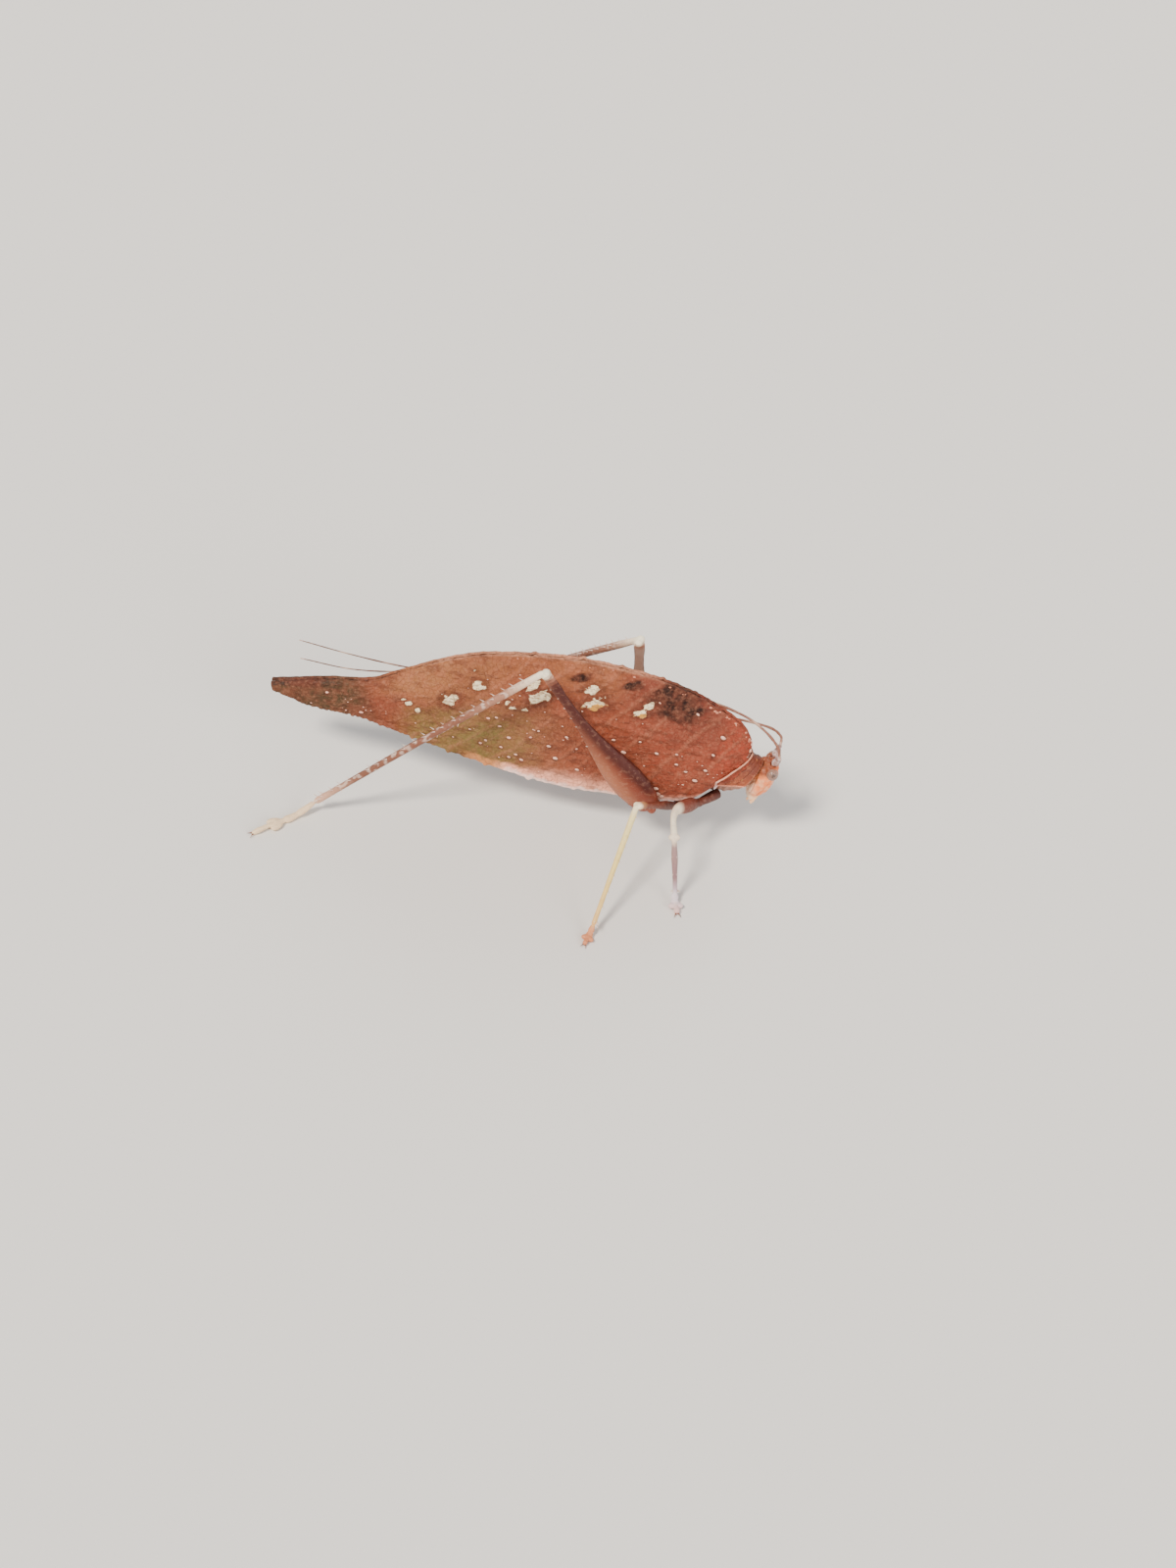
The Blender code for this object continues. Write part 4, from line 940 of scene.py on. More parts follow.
def make_shield():
    """The saddle-shaped pronotum: grained, with two cross furrows; its rear rim laps over the wing roots."""
    sheet = sheet_of(SHIELD_LENGTHWAYS, SHIELD_ROUND)
    flat = corners(sheet)
    share = np.clip(flat[:, 0] + 0.5, 0, 1)
    turn = flat[:, 1] * 2
    angle = np.radians(SHIELD_FRONT_SPREAD + (SHIELD_REAR_SPREAD - SHIELD_FRONT_SPREAD) * share) * turn
    rake = 1 - np.cos(np.minimum(np.abs(angle), math.pi / 2))
    lap = step(0.84, 1.0, share)
    front = SHIELD_FRONT_X - SHIELD_FRONT_RAKE * rake ** SHIELD_FRONT_CURVE
    rear = SHIELD_REAR_X - SHIELD_REAR_RAKE * rake - SHIELD_LAP * np.minimum(rake * 2, 1)
    x = front + (rear - front) * share
    place = np.stack((x, np.sin(angle) * SHIELD_HALF_WIDTH, np.cos(angle) * SHIELD_HEIGHT), axis=1)
    rear_rim = step(0.965, 0.99, share)
    low_rim = step(0.960, 0.985, np.abs(turn))
    rims = np.maximum.reduce((step(0.05, 0.015, share), rear_rim, low_rim))
    furrows = ridge(share - 0.05 * np.cos(angle * 2), 0.33, 0.035) + 0.8 * ridge(share, 0.66, 0.04)
    to_grain = np.array([noise.voronoi(Vector(point) / SHIELD_GRAIN)[0][0] for point in place])
    grains = 1 - step(0.0, 0.30, to_grain)
    height = 0.11 * rims + (0.09 * grains - 0.09 * furrows) * (1 - rims) + 0.03 * rough(place, 0.8)
    height += SHIELD_LAP * lap * np.minimum(0.4 + rake, 1)
    swell = 1 - 0.02 * np.sin(math.pi * share) + height / SHIELD_HEIGHT
    y = -SHIELD_HALF_WIDTH * swell * np.sin(angle) * (0.9 + 0.1 * share)
    z = SHIELD_MIDDLE_Z + SHIELD_HEIGHT * swell * np.cos(angle) - 0.9 * (1 - share)
    move_corners(sheet, np.stack((x, y, z), axis=1))
    orange = grains * step(0.0, 0.4, rough(place, 1.2, 5.0))
    lilac = step(0.86, 0.95, share) * step(0.74, 0.90, np.abs(turn) + 0.06 * rough(place, 0.6, 8.0))
    # The shield's back is painted darker: painted shade on its top
    shaded_back = step(0.2, 0.8, np.cos(angle))
    front_rim = step(0.04, 0.01, share)
    tint(sheet, "#94492C", ((shaded_back * 0.7, "#5E2A1E"), (furrows * 0.6, "#552414"),
                            (grains * 0.35, "#B06440"), (orange * 0.85, "#E8A060"),
                            (rear_rim * 0.85, "#E8A88C"), (low_rim, "#F29A7A"),
                            (front_rim * 0.5, "#C98468"), (lilac * 0.85, "#E9DCE2")))
    modified(sheet, "SOLIDIFY", thickness=SHIELD_THICKNESS, offset=-1.0)
    finished(sheet, "shield", SHIELD, ["pronotum"])


# Head: level rings from the crown to the mouth, each z, middle x, half length, half width

HEAD_RINGS = ((13.1, 30.14, 0.30, 0.40), (12.45, 30.14, 0.90, 1.20), (11.8, 30.03, 1.08, 1.52),
              (11.1, 29.82, 1.26, 1.70), (10.45, 29.6, 1.42, 1.78), (9.8, 29.43, 1.47, 1.77),
              (9.1, 29.27, 1.44, 1.68), (8.45, 29.1, 1.28, 1.50), (7.8, 28.94, 1.04, 1.24),
              (7.15, 28.84, 0.74, 0.94), (6.5, 28.82, 0.42, 0.58))
HEAD_GRAIN = 0.07
EYE = (30.25, 1.50, 12.25)
EYE_RADIUS = 0.72

# Swellings of the face in the middle, and those of its left side, as middle and radii
FACE_FORMS = (((29.92, 0, 8.75), (0.64, 0.88, 0.60)), ((29.40, 0, 7.45), (0.44, 0.70, 0.86)),
              ((30.26, 0, 10.9), (0.74, 0.98, 1.25)))
SIDE_FORMS = (((28.98, 0.74, 7.35), (0.62, 0.42, 0.84)), ((29.0, 1.26, 9.25), (0.98, 0.50, 1.25)),
              ((29.35, 0.85, 11.6), (0.72, 0.74, 0.95)))
BROW_HORN = ((30.0, 0, 12.35), (30.55, 0, 13.1), (31.0, 0, 13.6))
FEELER_SOCKET = (30.12, 0.62, 13.0)

# Mouth feelers of the left side: root and tip
PALPS = {"maxillary": ((29.2, 1.05, 7.3), (28.8, 1.15, 6.55)),
         "labial": ((28.7, 0.42, 6.8), (28.4, 0.42, 6.35))}

# Feelers: the thick first joint of the left one, and the routes of both whips
SCAPE_ROOT = (30.15, 0.62, 13.1)
SCAPE_TIP = (30.45, 0.95, 14.45)
FEELERS = {
    "right": ((30.55, -1.10, 14.7), (29.9, -0.8, 16.3), (27.9, 0.7, 17.2), (25.0, 2.3, 17.5),
              (19.0, 3.2, 18.2), (12.0, 3.0, 18.8), (3.0, 3.3, 18.6), (-6.0, 3.2, 16.8),
              (-14.0, 3.0, 13.9), (-21.0, 3.0, 12.4), (-27.6, 3.4, 12.2)),
    "left": ((30.55, 1.10, 14.7), (30.4, 2.2, 15.35), (28.0, 4.2, 14.6), (19.0, 6.1, 13.0), (8.0, 6.6, 12.0),
             (-4.0, 6.6, 11.2), (-15.0, 6.6, 10.9), (-22.0, 6.7, 11.2), (-28.4, 6.9, 11.8)),
}
FEELER_RADII = (0.17, 0.15, 0.14, 0.12, 0.095, 0.06)
FEELER_SEGMENTS = 110
FEELER_BANDS = 11
FEELER_SAMPLES = 200
FEELER_GRAIN = 0.05


def on_side(point, sign):
    """A point of the left side, or its mirror image where the sign is negative."""
    return Vector((point[0], sign * point[1], point[2]))


def face_seams(points):
    """Seams of the head, from 0 to 1: across the face, round the jaws and on the cheeks."""
    x, y, z = points.T
    out = np.abs(y)
    face = step(0.35, 0.75, x - 28.9 - 0.35 * (z - 7.5))
    cheek_seam = ridge(x - 0.42 * (z - 10), 29.95, 0.06) * step(0.8, 1.1, out)
    cheek_seam *= between(7.9, 8.4, 10.4, 11.0, z)
    seams = (ridge(z - 0.10 * np.cos(y * 2), 8.12, 0.06) * face
             + ridge(z + 0.35 * y ** 2, 9.5, 0.06) * face * step(1.25, 1.0, out)
             + ridge(out, 0.60, 0.06) * step(8.0, 7.7, z) * face
             + ridge(z + 0.45 * (x - 29), 8.0, 0.06) * step(0.55, 0.75, out) * (1 - face)
             + cheek_seam + ridge(x - 0.10 * (z - 9), 28.45, 0.08) * step(0.8, 1.2, out))
    return np.clip(seams, 0, 1)


def make_head():
    """A deep, slanted face: brow, cheeks, upper lip and jaws are swellings under one skin."""
    core = rod([(x, 0, z) for z, x, _, _ in HEAD_RINGS], [length for _, _, length, _ in HEAD_RINGS],
               [width for _, _, _, width in HEAD_RINGS], broad=(1, 0, 0), sides=48, rings=70, caps=0.06,
               blunt=0.25)
    forms = [core, rod(BROW_HORN, (0.42, 0.30, 0.14), sides=16, rings=20)]
    forms += [bulb(middle, radii) for middle, radii in FACE_FORMS]
    for sign in SIDES.values():
        forms += [bulb(on_side(middle, sign), radii) for middle, radii in SIDE_FORMS]
        forms.append(hoop(on_side(FEELER_SOCKET, sign), (0.2, sign * 0.25, 1), 0.46, 0.13))
        forms.append(hoop(on_side(EYE, sign) - Vector((0.02, sign * 0.12, 0)), (0.25, sign, 0.15),
                          EYE_RADIUS * 0.96, 0.13))
    head = skin(forms, HEAD_GRAIN, 2)
    points = corners(head)
    x, _, z = points.T
    seams = face_seams(points)
    height = 0.03 * rough(points, 0.45) + 0.012 * rough(points, 0.16, 7.0) - 0.10 * seams
    puffed(head, (29.2, 0, None), height)
    mottled = step(-0.3, 0.8, rough(points, 0.50, 4.0)) * between(7.2, 8.6, 11.0, 12.0, z)
    speckled = step(0.30, 0.60, rough(points, 0.20, 2.0)) * step(12.0, 11.0, z)
    # The crown is painted dark brown: partly its own colour, partly painted shade beside the shield
    crown = step(11.8, 12.5, z + 0.45 * (30.1 - x))
    forehead = step(30.0, 30.9, x) * step(9.2, 10.4, z)
    throat = step(29.0, 28.2, x) * step(11.0, 9.6, z)
    mouth = step(8.3, 7.0, z)
    tint(head, "#FF8A4C", ((crown * 0.9, "#7A3E2A"), (forehead * 0.6, "#FF7E40"),
                           (mottled * 0.50, "#FFCDA0"), (speckled * 0.35, "#D8704A"),
                           (mouth * 0.85, "#FDE6BE"), (throat * 0.75, "#FDE0C0"), (seams * 0.5, "#A85E3C")))
    finished(head, "head_skin", FACE, ["head"])


def make_eye(side, sign):
    """A glossy compound eye: grey with brown bands and the dark spot that such eyes show."""
    middle = on_side(EYE, sign)
    ball = bulb(middle, (EYE_RADIUS, EYE_RADIUS, EYE_RADIUS * 1.08), 48)
    outward = (corners(ball) - np.array(middle)) / EYE_RADIUS
    gaze = np.array(Vector((0.10, sign * 0.86, 0.50)).normalized())
    away = np.arccos(np.clip(outward @ gaze / np.linalg.norm(outward, axis=1), -1, 1))
    bands = 0.5 + 0.5 * np.sin(outward[:, 2] * 11 + outward[:, 0] * 2)
    tint(ball, "#96705F", ((bands * 0.45, "#684639"), (step(0.46, 0.22, away) * 0.8, "#2C1A16"),
                           (step(0.9, 1.5, away) * 0.45, "#B98D7C")))
    finished(ball, f"eye_ball_{side}", EYE_LENS, [f"eye_{side}"])


def make_palps(side, sign):
    """Jointed mouth feelers, each joint thicker than the one before."""
    for kind, (start, end) in PALPS.items():
        root = on_side(start, sign)
        tip = on_side(end, sign)
        bend = root.lerp(tip, 0.5) + on_side((0.08, 0.08, -0.12), sign)
        joints = ((root, root.lerp(bend, 0.85), 0.17), (root.lerp(bend, 0.7), bend.lerp(tip, 0.3), 0.19),
                  (bend.lerp(tip, 0.2), tip, 0.21))
        forms = [rod((first, first.lerp(last, 0.5), last),
                     (radius * 0.7, radius, radius * 1.05, radius * 0.9), rings=16, sides=14, caps=0.2)
                 for first, last, radius in joints]
        palp = skin(forms, FEELER_GRAIN, 1)
        tint(palp, "#F4C090")
        finished(palp, f"palp_{kind}_skin_{side}", FACE, [f"palp_{kind}_{side}"])


def make_feeler(side, sign):
    """A thread-like feeler: thick first joint, bead-like second, then a long ringed whip with pale bands."""
    root = on_side(SCAPE_ROOT, sign)
    tip = on_side(SCAPE_TIP, sign)
    path = FEELERS[side]
    scape = rod((root, root.lerp(tip, 0.5) + Vector((0.08, 0, 0)), tip), (0.28, 0.46, 0.50, 0.42, 0.30),
                rings=26, caps=0.15)
    bead = bulb(Vector(path[0]).lerp(tip, 0.4), (0.29, 0.29, 0.30), 16)
    base = skin([scape, bead], FEELER_GRAIN, 1)
    points = corners(base)
    mottled = step(-0.2, 0.4, rough(points, 0.35, 2.0))
    tint(base, "#A58078", ((mottled * 0.7, "#D9C6C4"), (ridge(points[:, 2], 14.35, 0.12) * 0.7, "#6E4A42")))
    finished(base, f"feeler_base_{side}", FEELER, [f"scape_{side}"])
    shares = np.linspace(0, 1, FEELER_SEGMENTS * 6)
    radii = read(FEELER_RADII, shares) * (1 + 0.13 * np.cos(shares * FEELER_SEGMENTS * 2 * math.pi))
    whip = rod(path, radii, sides=8, rings=FEELER_SEGMENTS * 5, caps=0.001, blunt=0.5)
    nearest, _ = nearest_on(smooth_points(path, FEELER_SAMPLES), corners(whip))
    share = nearest / (FEELER_SAMPLES - 1)
    bands = step(0.72, 0.9, np.abs(((share * FEELER_BANDS) % 1) * 2 - 1))
    tint(whip, "#8A5846", ((share, "#6A4030"), (bands * 0.7, "#D8B29A")))
    finished(whip, f"feeler_whip_{side}", FEELER,
             [f"antenna_{side}_{length}" for length in (1, 2, 3)])


# Legs: root of the coxa, hip, a point on the bow of the femur, knee, ankle, end of the claws

LEGS = {
    "front_right": ((24.3, -1.9, 7.5), (22.4, -3.6, 7.4), (19.45, -7.3, 9.0), (19.7, -11.0, 8.1),
                    (21.3, -13.0, 1.3), (21.9, -15.4, 0.0)),
    "front_left": ((24.3, 1.9, 7.5), (22.6, 3.6, 7.3), (20.0, 7.8, 8.9), (20.6, 10.8, 8.6),
                   (22.6, 12.8, 1.3), (23.6, 15.0, 0.0)),
    "mid_right": ((20.9, -2.0, 6.5), (19.8, -3.6, 6.1), (17.4, -6.5, 8.75), (14.6, -9.0, 10.6),
                  (12.0, -20.3, 1.3), (11.3, -22.6, 0.0)),
    "mid_left": ((20.9, 2.0, 6.5), (19.8, 3.6, 6.1), (18.0, 6.3, 8.6), (16.2, 8.6, 10.4),
                 (14.6, 17.2, 1.3), (13.8, 19.8, 0.0)),
    "hind_right": ((17.6, -1.2, 5.75), (16.9, -5.1, 6.4), (8.6, -4.95, 15.4), (1.0, -4.0, 24.2),
                   (-22.8, -9.3, 1.5), (-29.2, -14.9, 0.0)),
    "hind_left": ((17.4, 1.2, 5.75), (16.5, 5.15, 6.4), (13.2, 4.9, 14.8), (11.2, 2.9, 25.6),
                  (-3.6, 17.6, 1.5), (-9.9, 20.9, 0.0)),
}
LEG_GRAIN = 0.09
COXA_SAMPLES = 20
LIMB_SAMPLES = 60
THORN_SAMPLES = 80
COXA_SIZES = {"front": 0.66, "mid": 0.70, "hind": 0.66}
FEMUR_SIZES = {
    "front": (0.46, 0.72, 0.92, 0.95, 0.86, 0.68, 0.52, 0.45, 0.43, 0.50, 0.46),
    "mid": (0.42, 0.52, 0.58, 0.60, 0.58, 0.52, 0.46, 0.42, 0.42, 0.50, 0.46),
    "hind": (1.25, 1.90, 2.22, 2.24, 2.02, 1.66, 1.28, 0.96, 0.74, 0.60, 0.58, 0.68, 0.60),
}
FEMUR_FLATNESS = {"front": 0.8, "mid": 0.8, "hind": 0.45}
TIBIA_SIZES = {
    "front": (0.32, 0.36, 0.42, 0.44, 0.40, 0.35, 0.32, 0.30, 0.33),
    "mid": (0.36, 0.41, 0.40, 0.38, 0.35, 0.33, 0.31, 0.30, 0.33),
    "hind": (0.38, 0.48, 0.47, 0.45, 0.43, 0.42, 0.41, 0.40, 0.44),
}
TIBIA_BOW = 0.006
FOOT_SIZES = {"front": 1.4, "mid": 1.15, "hind": 1.3}

# How far round to the inside the hind thigh turns pale: the left one shows the inside, and more of it
PALE_THIGH_FROM = {"right": -0.45, "left": -0.05}

# Colours along a leg: coxa from 0 to 1, femur to 2, tibia to 3, foot to 4
# The dark coxae and the dark inner parts of the front and mid femora are painted shade under the body; the
# front tibia's darker greyish middle is a painted shadow of the body
LEG_COLOURS = {
    "front": ((0, "#4A2018"), (1, "#5A281C"), (1.42, "#74382A"), (1.52, "#F0DCC0"), (1.9, "#F6E8CC"),
              (2.0, "#F0DAC0"), (2.12, "#A0807C"), (2.7, "#937072"), (2.9, "#C0A8B0"), (3.0, "#E2D6DC"),
              (3.4, "#E6D8DE"), (4.0, "#E2B4AC")),
    "mid": ((0, "#4A2018"), (1, "#5A281C"), (1.8, "#6E3424"), (1.93, "#C88C60"), (2.0, "#FBEBC8"),
            (2.1, "#F4DF9C"), (2.5, "#EFD37C"), (2.95, "#E9BC70"), (3.1, "#DE9466"), (4.0, "#D08058")),
    "hind": ((0, "#5A281C"), (1, "#8A4430"), (1.12, "#7C3622"), (1.5, "#682B18"), (1.9, "#5E2616"),
             (1.96, "#A86C52"), (2.0, "#FBEFD2"), (2.05, "#F4DCC0"), (2.16, "#AA7860"), (2.35, "#804E3A"),
             (2.8, "#784A38"), (2.97, "#D0A288"), (3.05, "#F2D2A8"), (4.0, "#F4D8B0")),
}

# Thorns of the tibia: count and length; and its rows of them: first and last place, share of the count,
# side, angle, share of the length, radius
TIBIA_SPINES = {"front": (7, 0.50), "mid": (8, 0.50), "hind": (22, 0.72)}
SPINE_ROWS = ((0.08, 0.955, 1.0, 1, 38, 1.0, 0.10), (0.28, 0.97, 0.4, -1, 40, 0.6, 0.08),
              (0.965, 0.985, 0.0, 1, 55, 1.25, 0.12))

# Finer thorns under the femur: count, first and last place, angle, length and radius
FEMUR_SPINES = {"front": 5, "mid": 5, "hind": 7}
FEMUR_SPINE_SPAN = (0.52, 0.90)
FEMUR_SPINE_ANGLE = 8
FEMUR_SPINE_LENGTH = 0.26
FEMUR_SPINE_RADIUS = 0.06


def square_to(ahead, wish):
    """The direction nearest to a wish that is square to the way ahead."""
    ahead = ahead.normalized()
    return (wish - ahead * wish.dot(ahead)).normalized()


def foot_path(ankle, toe, size):
    """From the ankle down to the floor and along it to the toe."""
    return smooth_points((ankle, (*ankle.lerp(toe, 0.3).xy, 0.32 * size),
                          (*ankle.lerp(toe, 0.7).xy, 0.30 * size), (*toe.xy, 0.26)), LIMB_SAMPLES)


def foot_forms(path, across, size):
    """Four joints of a foot: two with soft soles, a heart-shaped third, and a long last one."""
    def place(share, out=0.0, up=0.0):
        return Vector(read(path, share)) + across * out * size + Vector((0, 0, up * size))

    forms = []
    for first, last, wide in ((0.0, 0.30, 0.31), (0.26, 0.50, 0.35), (0.48, 0.66, 0.32)):
        forms.append(rod((place(first), place((first + last) / 2), place(last)),
                         np.array((0.75, 0.85, 1.0, 1.1, 0.9)) * wide * size,
                         np.array((0.22, 0.24, 0.28, 0.31, 0.25)) * size, broad=across, rings=22, caps=0.16))
    for row in (-1, 1):
        forms.append(rod((place(0.52, row * 0.10), place(0.62, row * 0.34), place(0.73, row * 0.44)),
                         np.array((0.16, 0.28, 0.32, 0.24)) * size,
                         np.array((0.14, 0.24, 0.26, 0.18)) * size, broad=across, rings=18, caps=0.25))
    forms.append(rod((place(0.60, 0, 0.06), place(0.80, 0, 0.08), place(0.99)),
                     np.array((0.18, 0.19, 0.22, 0.27, 0.20)) * size, broad=across, rings=26, caps=0.12))
    return forms


def limb_forms(kind, places, shin_path, broad, outer):
    """Coxa, femur with its two knee lobes, and tibia; femur and tibia are widest towards broad and outer."""
    root, hip, bow, knee = places
    coxa = COXA_SIZES[kind]
    sizes = np.array(FEMUR_SIZES[kind])
    tibia_sizes = np.array(TIBIA_SIZES[kind])
    shin = shin_path[0] - shin_path[-1]
    across = shin.normalized().cross(outer)
    thin_sizes = sizes * FEMUR_FLATNESS[kind]
    forms = [rod((root + (root - hip).normalized() * 0.7, root.lerp(hip, 0.5), hip),
                 np.array((1.0, 1.0, 0.9, 0.72)) * coxa, rings=26, caps=0.12),
             bulb(hip, (coxa * 0.86,) * 3, 18),
             rod((hip, bow, knee), sizes, thin_sizes, broad=broad, rings=80, sides=30, caps=0.035),
             rod((knee + shin.normalized() * 0.1, *shin_path[1:]), tibia_sizes, tibia_sizes * 0.9,
                 broad=outer, rings=60, sides=18, caps=0.02)]
    for row in (-1, 1):
        lobe = knee - (knee - bow).normalized() * 0.35 + across * row * thin_sizes[-2] * 0.75
        forms.append(bulb(lobe, (sizes[-2] * 0.8,) * 3, 16))
    return forms


def paint_leg(leg, points, kind, stretches, broad):
    """Colours from coxa to toe; a hind thigh has painted shade along its upper edge, a painted lit tone low
    near its root, and a pale inner side.
    """
    route = np.concatenate(stretches)
    marks = np.concatenate([np.linspace(number, number + 1, len(stretch))
                            for number, stretch in enumerate(stretches)])
    nearest, away = nearest_on(route, points)
    place = marks[nearest]
    hip, knee = Vector(stretches[1][0]), Vector(stretches[1][-1])
    upper_edge = away @ np.array(square_to(knee - hip, broad)) / max(FEMUR_SIZES[kind])
    # Painted shade along the upper edge of the outer face, wider towards the knee, and a painted lit tone on
    # the lower side near the root
    shade_from = 0.56 - 0.68 * step(1.10, 1.75, place)
    dark = step(-0.30, 0.16, upper_edge - shade_from)
    lit_side = step(0.3, -0.6, upper_edge) * step(1.8, 1.3, place)
    on_femur = between(1.05, 1.15, 1.9, 1.97, place) * (kind == "hind")
    on_tibia = between(2.08, 2.15, 2.9, 2.97, place) * (kind == "hind")
    dashes = step(0.2, 0.7, rough(points, 0.55, 6.0))
    outward = away[:, 1] * math.copysign(1, hip.y) / (np.linalg.norm(away, axis=1) + 1e-9)
    pale_from = PALE_THIGH_FROM["right" if hip.y < 0 else "left"]
    outside = step(pale_from - 0.30, pale_from, outward)
    # 400C04 is painted shade and #B4704E is painted light; the pale inner side and the tibia's dashes are
    # the leg's own colours
    tint(leg, along_colours(LEG_COLOURS[kind], place),
         ((on_femur * outside * dark * 0.94, "#400C04"), (on_femur * lit_side * 0.65, "#B4704E"),
          (on_femur * (1 - outside) * 0.85, "#B79684"), (on_tibia * dashes * 0.45, "#EBD3C2")))


def make_leg(name, stations):
    """One skin from coxa to sole; thorns and claws are pieces of their own."""
    kind = name.split("_")[0]
    root, hip, bow, knee, ankle, toe = (Vector(place) for place in stations)
    shin = knee - ankle
    size = FOOT_SIZES[kind]
    foot_across = Vector((0, 0, 1)).cross(Vector((*(toe - ankle).xy, 0)).normalized())
    foot = foot_path(ankle, toe, size)
    outer = square_to(shin, knee - bow)
    broad = shin * Vector((1, 0.3, 1))
    shin_path = (knee, knee.lerp(ankle, 0.5) + Vector((0, 0, TIBIA_BOW * shin.length)), ankle)
    leg = skin(limb_forms(kind, (root, hip, bow, knee), shin_path, broad, outer)
               + foot_forms(foot, foot_across, size), LEG_GRAIN, 2)
    points = corners(leg)
    points += 0.02 * rough(points, 0.5)[:, None] * np.array((0.5, 0.5, 1.0))
    points[:, 2] = np.maximum(points[:, 2], 0.0)
    move_corners(leg, points)
    stretches = (smooth_points((root, hip), COXA_SAMPLES), smooth_points((hip, bow, knee), LIMB_SAMPLES),
                 smooth_points(shin_path, LIMB_SAMPLES), foot)
    paint_leg(leg, points, kind, stretches, broad)
    finished(leg, f"leg_{name}", LEG,
             [f"{part}_{name}" for part in ("coxa", "femur", "tibia", "tarsus")])
    make_thorns(name, kind, smooth_points(shin_path, THORN_SAMPLES),
                smooth_points((hip, bow, knee), THORN_SAMPLES), outer if kind == "hind" else -outer, -shin)
    make_claws(name, foot, foot_across, size)


def thorn_row(path, sizes, first, last, count, out, angle, length, radius, draw):
    """Frames of thorns along a limb, set on its skin and leaning towards its far end."""
    frames = []
    for number in range(count):
        share = first + (last - first) * number / (count - 1) + draw.uniform(-0.006, 0.006)
        middle = Vector(read(path, share))
        ahead = (Vector(read(path, share + 0.02)) - Vector(read(path, share - 0.02))).normalized()
        back = square_to(ahead, out)
        aim = back * math.cos(angle) + ahead.cross(back) * math.sin(angle)
        root = middle + aim * (float(read(sizes, share)) * 0.9 - 0.08)
        frames.append(set_at(root, aim + ahead * 0.55, ahead, radius * draw.uniform(0.85, 1.1),
                             length * draw.uniform(0.8, 1.1)))
    return frames


def make_thorns(name, kind, shin, thigh, outer, under):
    """Two rows of thorns down each edge of the tibia, and finer ones under the femur."""
    draw = random.Random(len(name) * 100 + ord(name[-1]) + ord(name[0]))
    count, length = TIBIA_SPINES[kind]
    frames = []
    for row in (-1, 1):
        for first, last, share, edge, degrees, length_share, radius in SPINE_ROWS:
            frames += thorn_row(shin, TIBIA_SIZES[kind], first, last, max(2, round(count * share)),
                                outer * edge, row * math.radians(degrees), length * length_share,
                                radius, draw)
        frames += thorn_row(thigh, FEMUR_SIZES[kind], *FEMUR_SPINE_SPAN, FEMUR_SPINES[kind], under,
                            row * math.radians(FEMUR_SPINE_ANGLE), FEMUR_SPINE_LENGTH,
                            FEMUR_SPINE_RADIUS, draw)
    finished(repeated(spike_model(0.8), frames), f"thorns_{name}", SPINE)


def make_claws(name, foot, across, size):
    """The two hooked claws at the end of the foot, with their points on the floor."""
    tip = Vector(read(foot, 0.985))
    ahead = (tip - Vector(read(foot, 0.90))).normalized()
    ahead.z = 0
    frames = []
    for row in (-1, 1):
        root = tip - ahead * 0.10 + across * row * 0.07 * size
        aim = ahead * 0.95 + across * row * 0.50 + Vector((0, 0, 0.1))
        frames.append(set_at(root, aim, Vector((0, 0, -1)), 0.10 * size, 0.50 * size))
    claws = repeated(spike_model(1.6), frames)
    points = corners(claws)
    points[:, 2] = np.maximum(points[:, 2], 0.005)
    move_corners(claws, points)
    finished(claws, f"claws_{name}", CLAW)


# Camera, light and floor

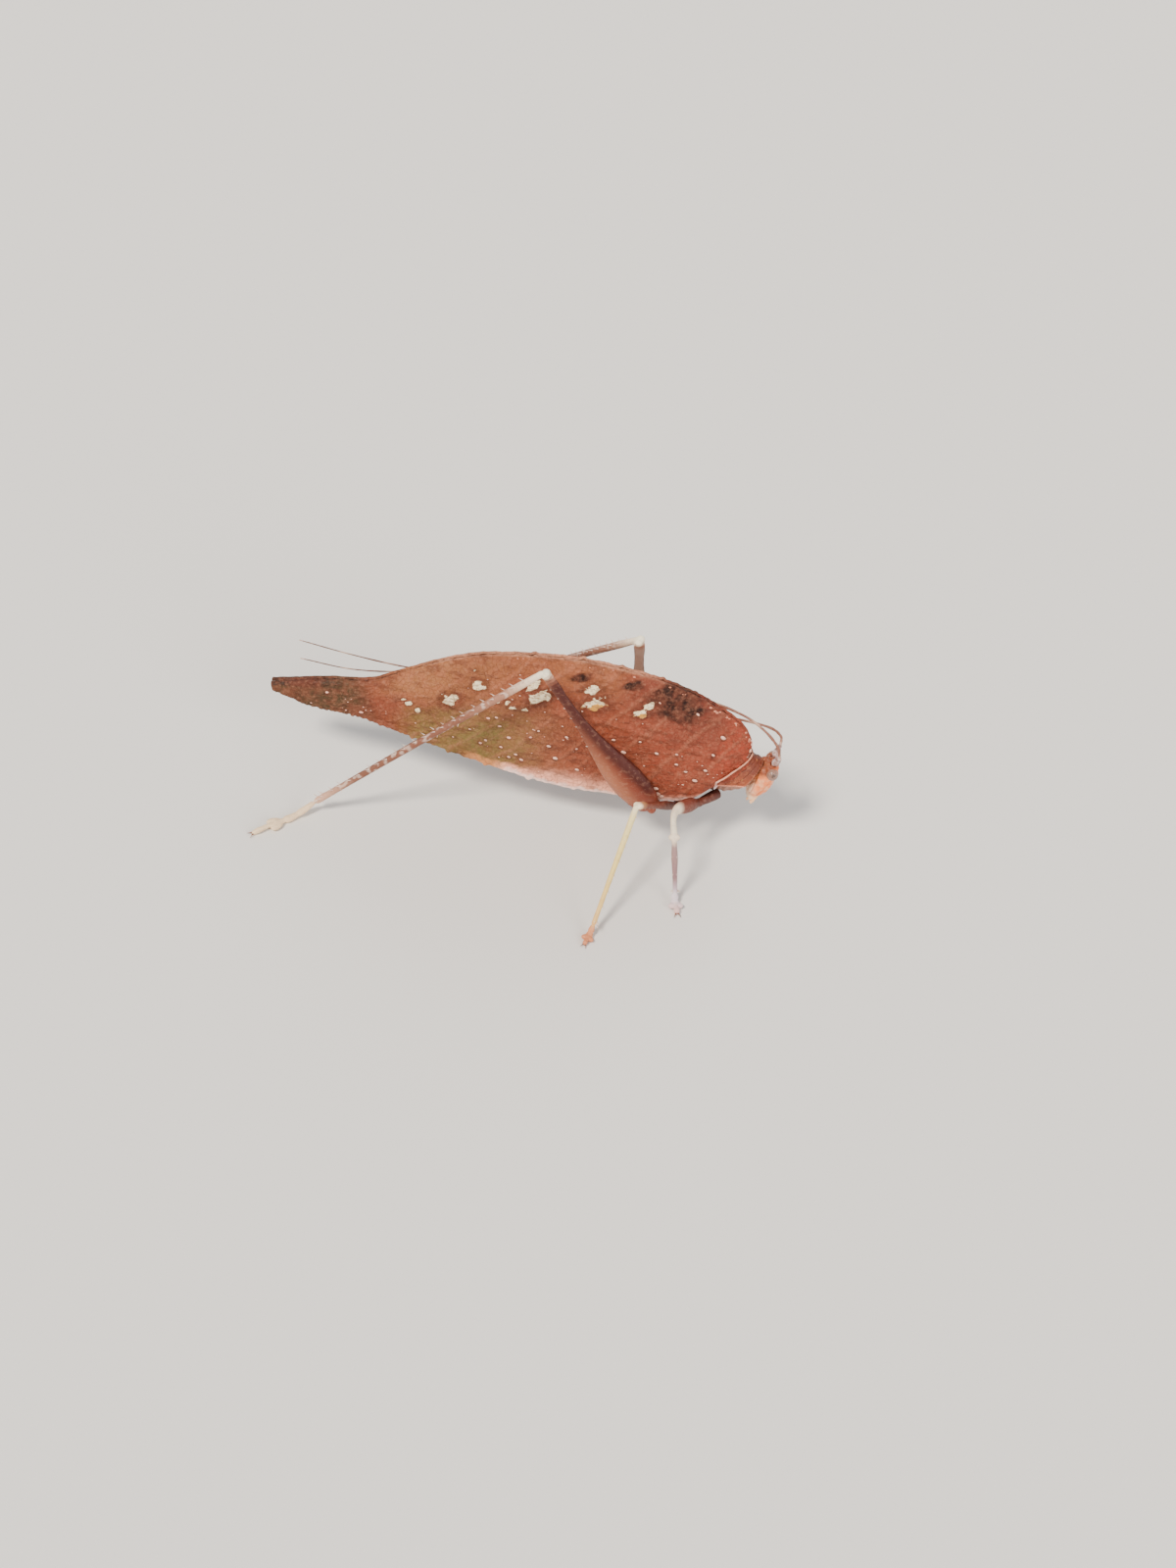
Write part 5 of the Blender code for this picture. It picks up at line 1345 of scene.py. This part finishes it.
def make_camera():
    """The photo's viewpoint: from the insect's right, above, with the picture turned a little."""
    back = Vector((math.sin(CAMERA_AZIMUTH) * math.cos(CAMERA_ELEVATION),
                   -math.cos(CAMERA_AZIMUTH) * math.cos(CAMERA_ELEVATION), math.sin(CAMERA_ELEVATION)))
    right = Vector((math.cos(CAMERA_AZIMUTH), math.sin(CAMERA_AZIMUTH), 0))
    up = back.cross(right)
    rolled_right = right * math.cos(CAMERA_ROLL) + up * math.sin(CAMERA_ROLL)
    rolled_up = up * math.cos(CAMERA_ROLL) - right * math.sin(CAMERA_ROLL)
    turn = Matrix((rolled_right, rolled_up, back)).transposed().to_euler()
    bpy.ops.object.camera_add(location=(AIM + SHIFT + back * CAMERA_DISTANCE) * MM, rotation=turn)
    camera = bpy.context.object
    camera.name = "camera"
    camera.data.sensor_width = SENSOR
    camera.data.lens = SENSOR * PIXELS_PER_MM * CAMERA_DISTANCE / PICTURE_LONG_SIDE
    camera.data.clip_start = 0.01
    camera.data.clip_end = 20
    bpy.context.scene.camera = camera


def make_light(name, aim_from, spread, strength, code):
    """A large soft light far away, which looks at the insect from this direction."""
    turn = Vector(aim_from).to_track_quat("Z", "Y").to_euler()
    bpy.ops.object.light_add(type="SUN", location=Vector(aim_from), rotation=turn)
    light = bpy.context.object
    light.name = name
    light.data.angle = math.radians(spread)
    light.data.energy = strength
    light.data.color = colour(code)[:3]


def make_stage():
    """A pale matt floor, a pale room that darkens a little with height, and three large soft lights."""
    bpy.ops.object.select_all(action="DESELECT")
    bpy.ops.mesh.primitive_plane_add(size=FLOOR_SIZE, location=(0, 0, -0.00002))
    floor = bpy.context.object
    floor.name = "floor"
    material, _, shader, _ = start_material("pale_matt_floor", 0.85, 0.2)
    shader.inputs["Base Color"].default_value = colour("#E4E1DC")
    floor.data.materials.append(material)
    world = bpy.data.worlds.new("studio")
    world.use_nodes = True
    tree = world.node_tree
    height = node(tree, "SeparateXYZ", {0: node(tree, "TexCoord").outputs["Generated"]}).outputs["Z"]
    rise = node(tree, "MapRange", {"Value": height, "From Min": 0.02, "From Max": 0.30},
                interpolation_type="SMOOTHSTEP").outputs[0]
    background = tree.nodes["Background"]
    tree.links.new(coats(tree, "#F0EEEB", ((rise, "#9C9EA2", 1.0),)), background.inputs["Color"])
    background.inputs["Strength"].default_value = 1.5
    bpy.context.scene.world = world
    for name, light in LIGHTS.items():
        make_light(name, *light)


make_camera()
make_stage()
for one_side, one_sign in SIDES.items():
    make_wing(one_side, one_sign)
    make_fan(one_side, one_sign)
    make_eye(one_side, one_sign)
    make_palps(one_side, one_sign)
    make_feeler(one_side, one_sign)
make_trunk()
make_tail_parts()
make_shield()
make_head()
for leg_name, leg_stations in LEGS.items():
    make_leg(leg_name, leg_stations)

bpy.context.view_layer.update()
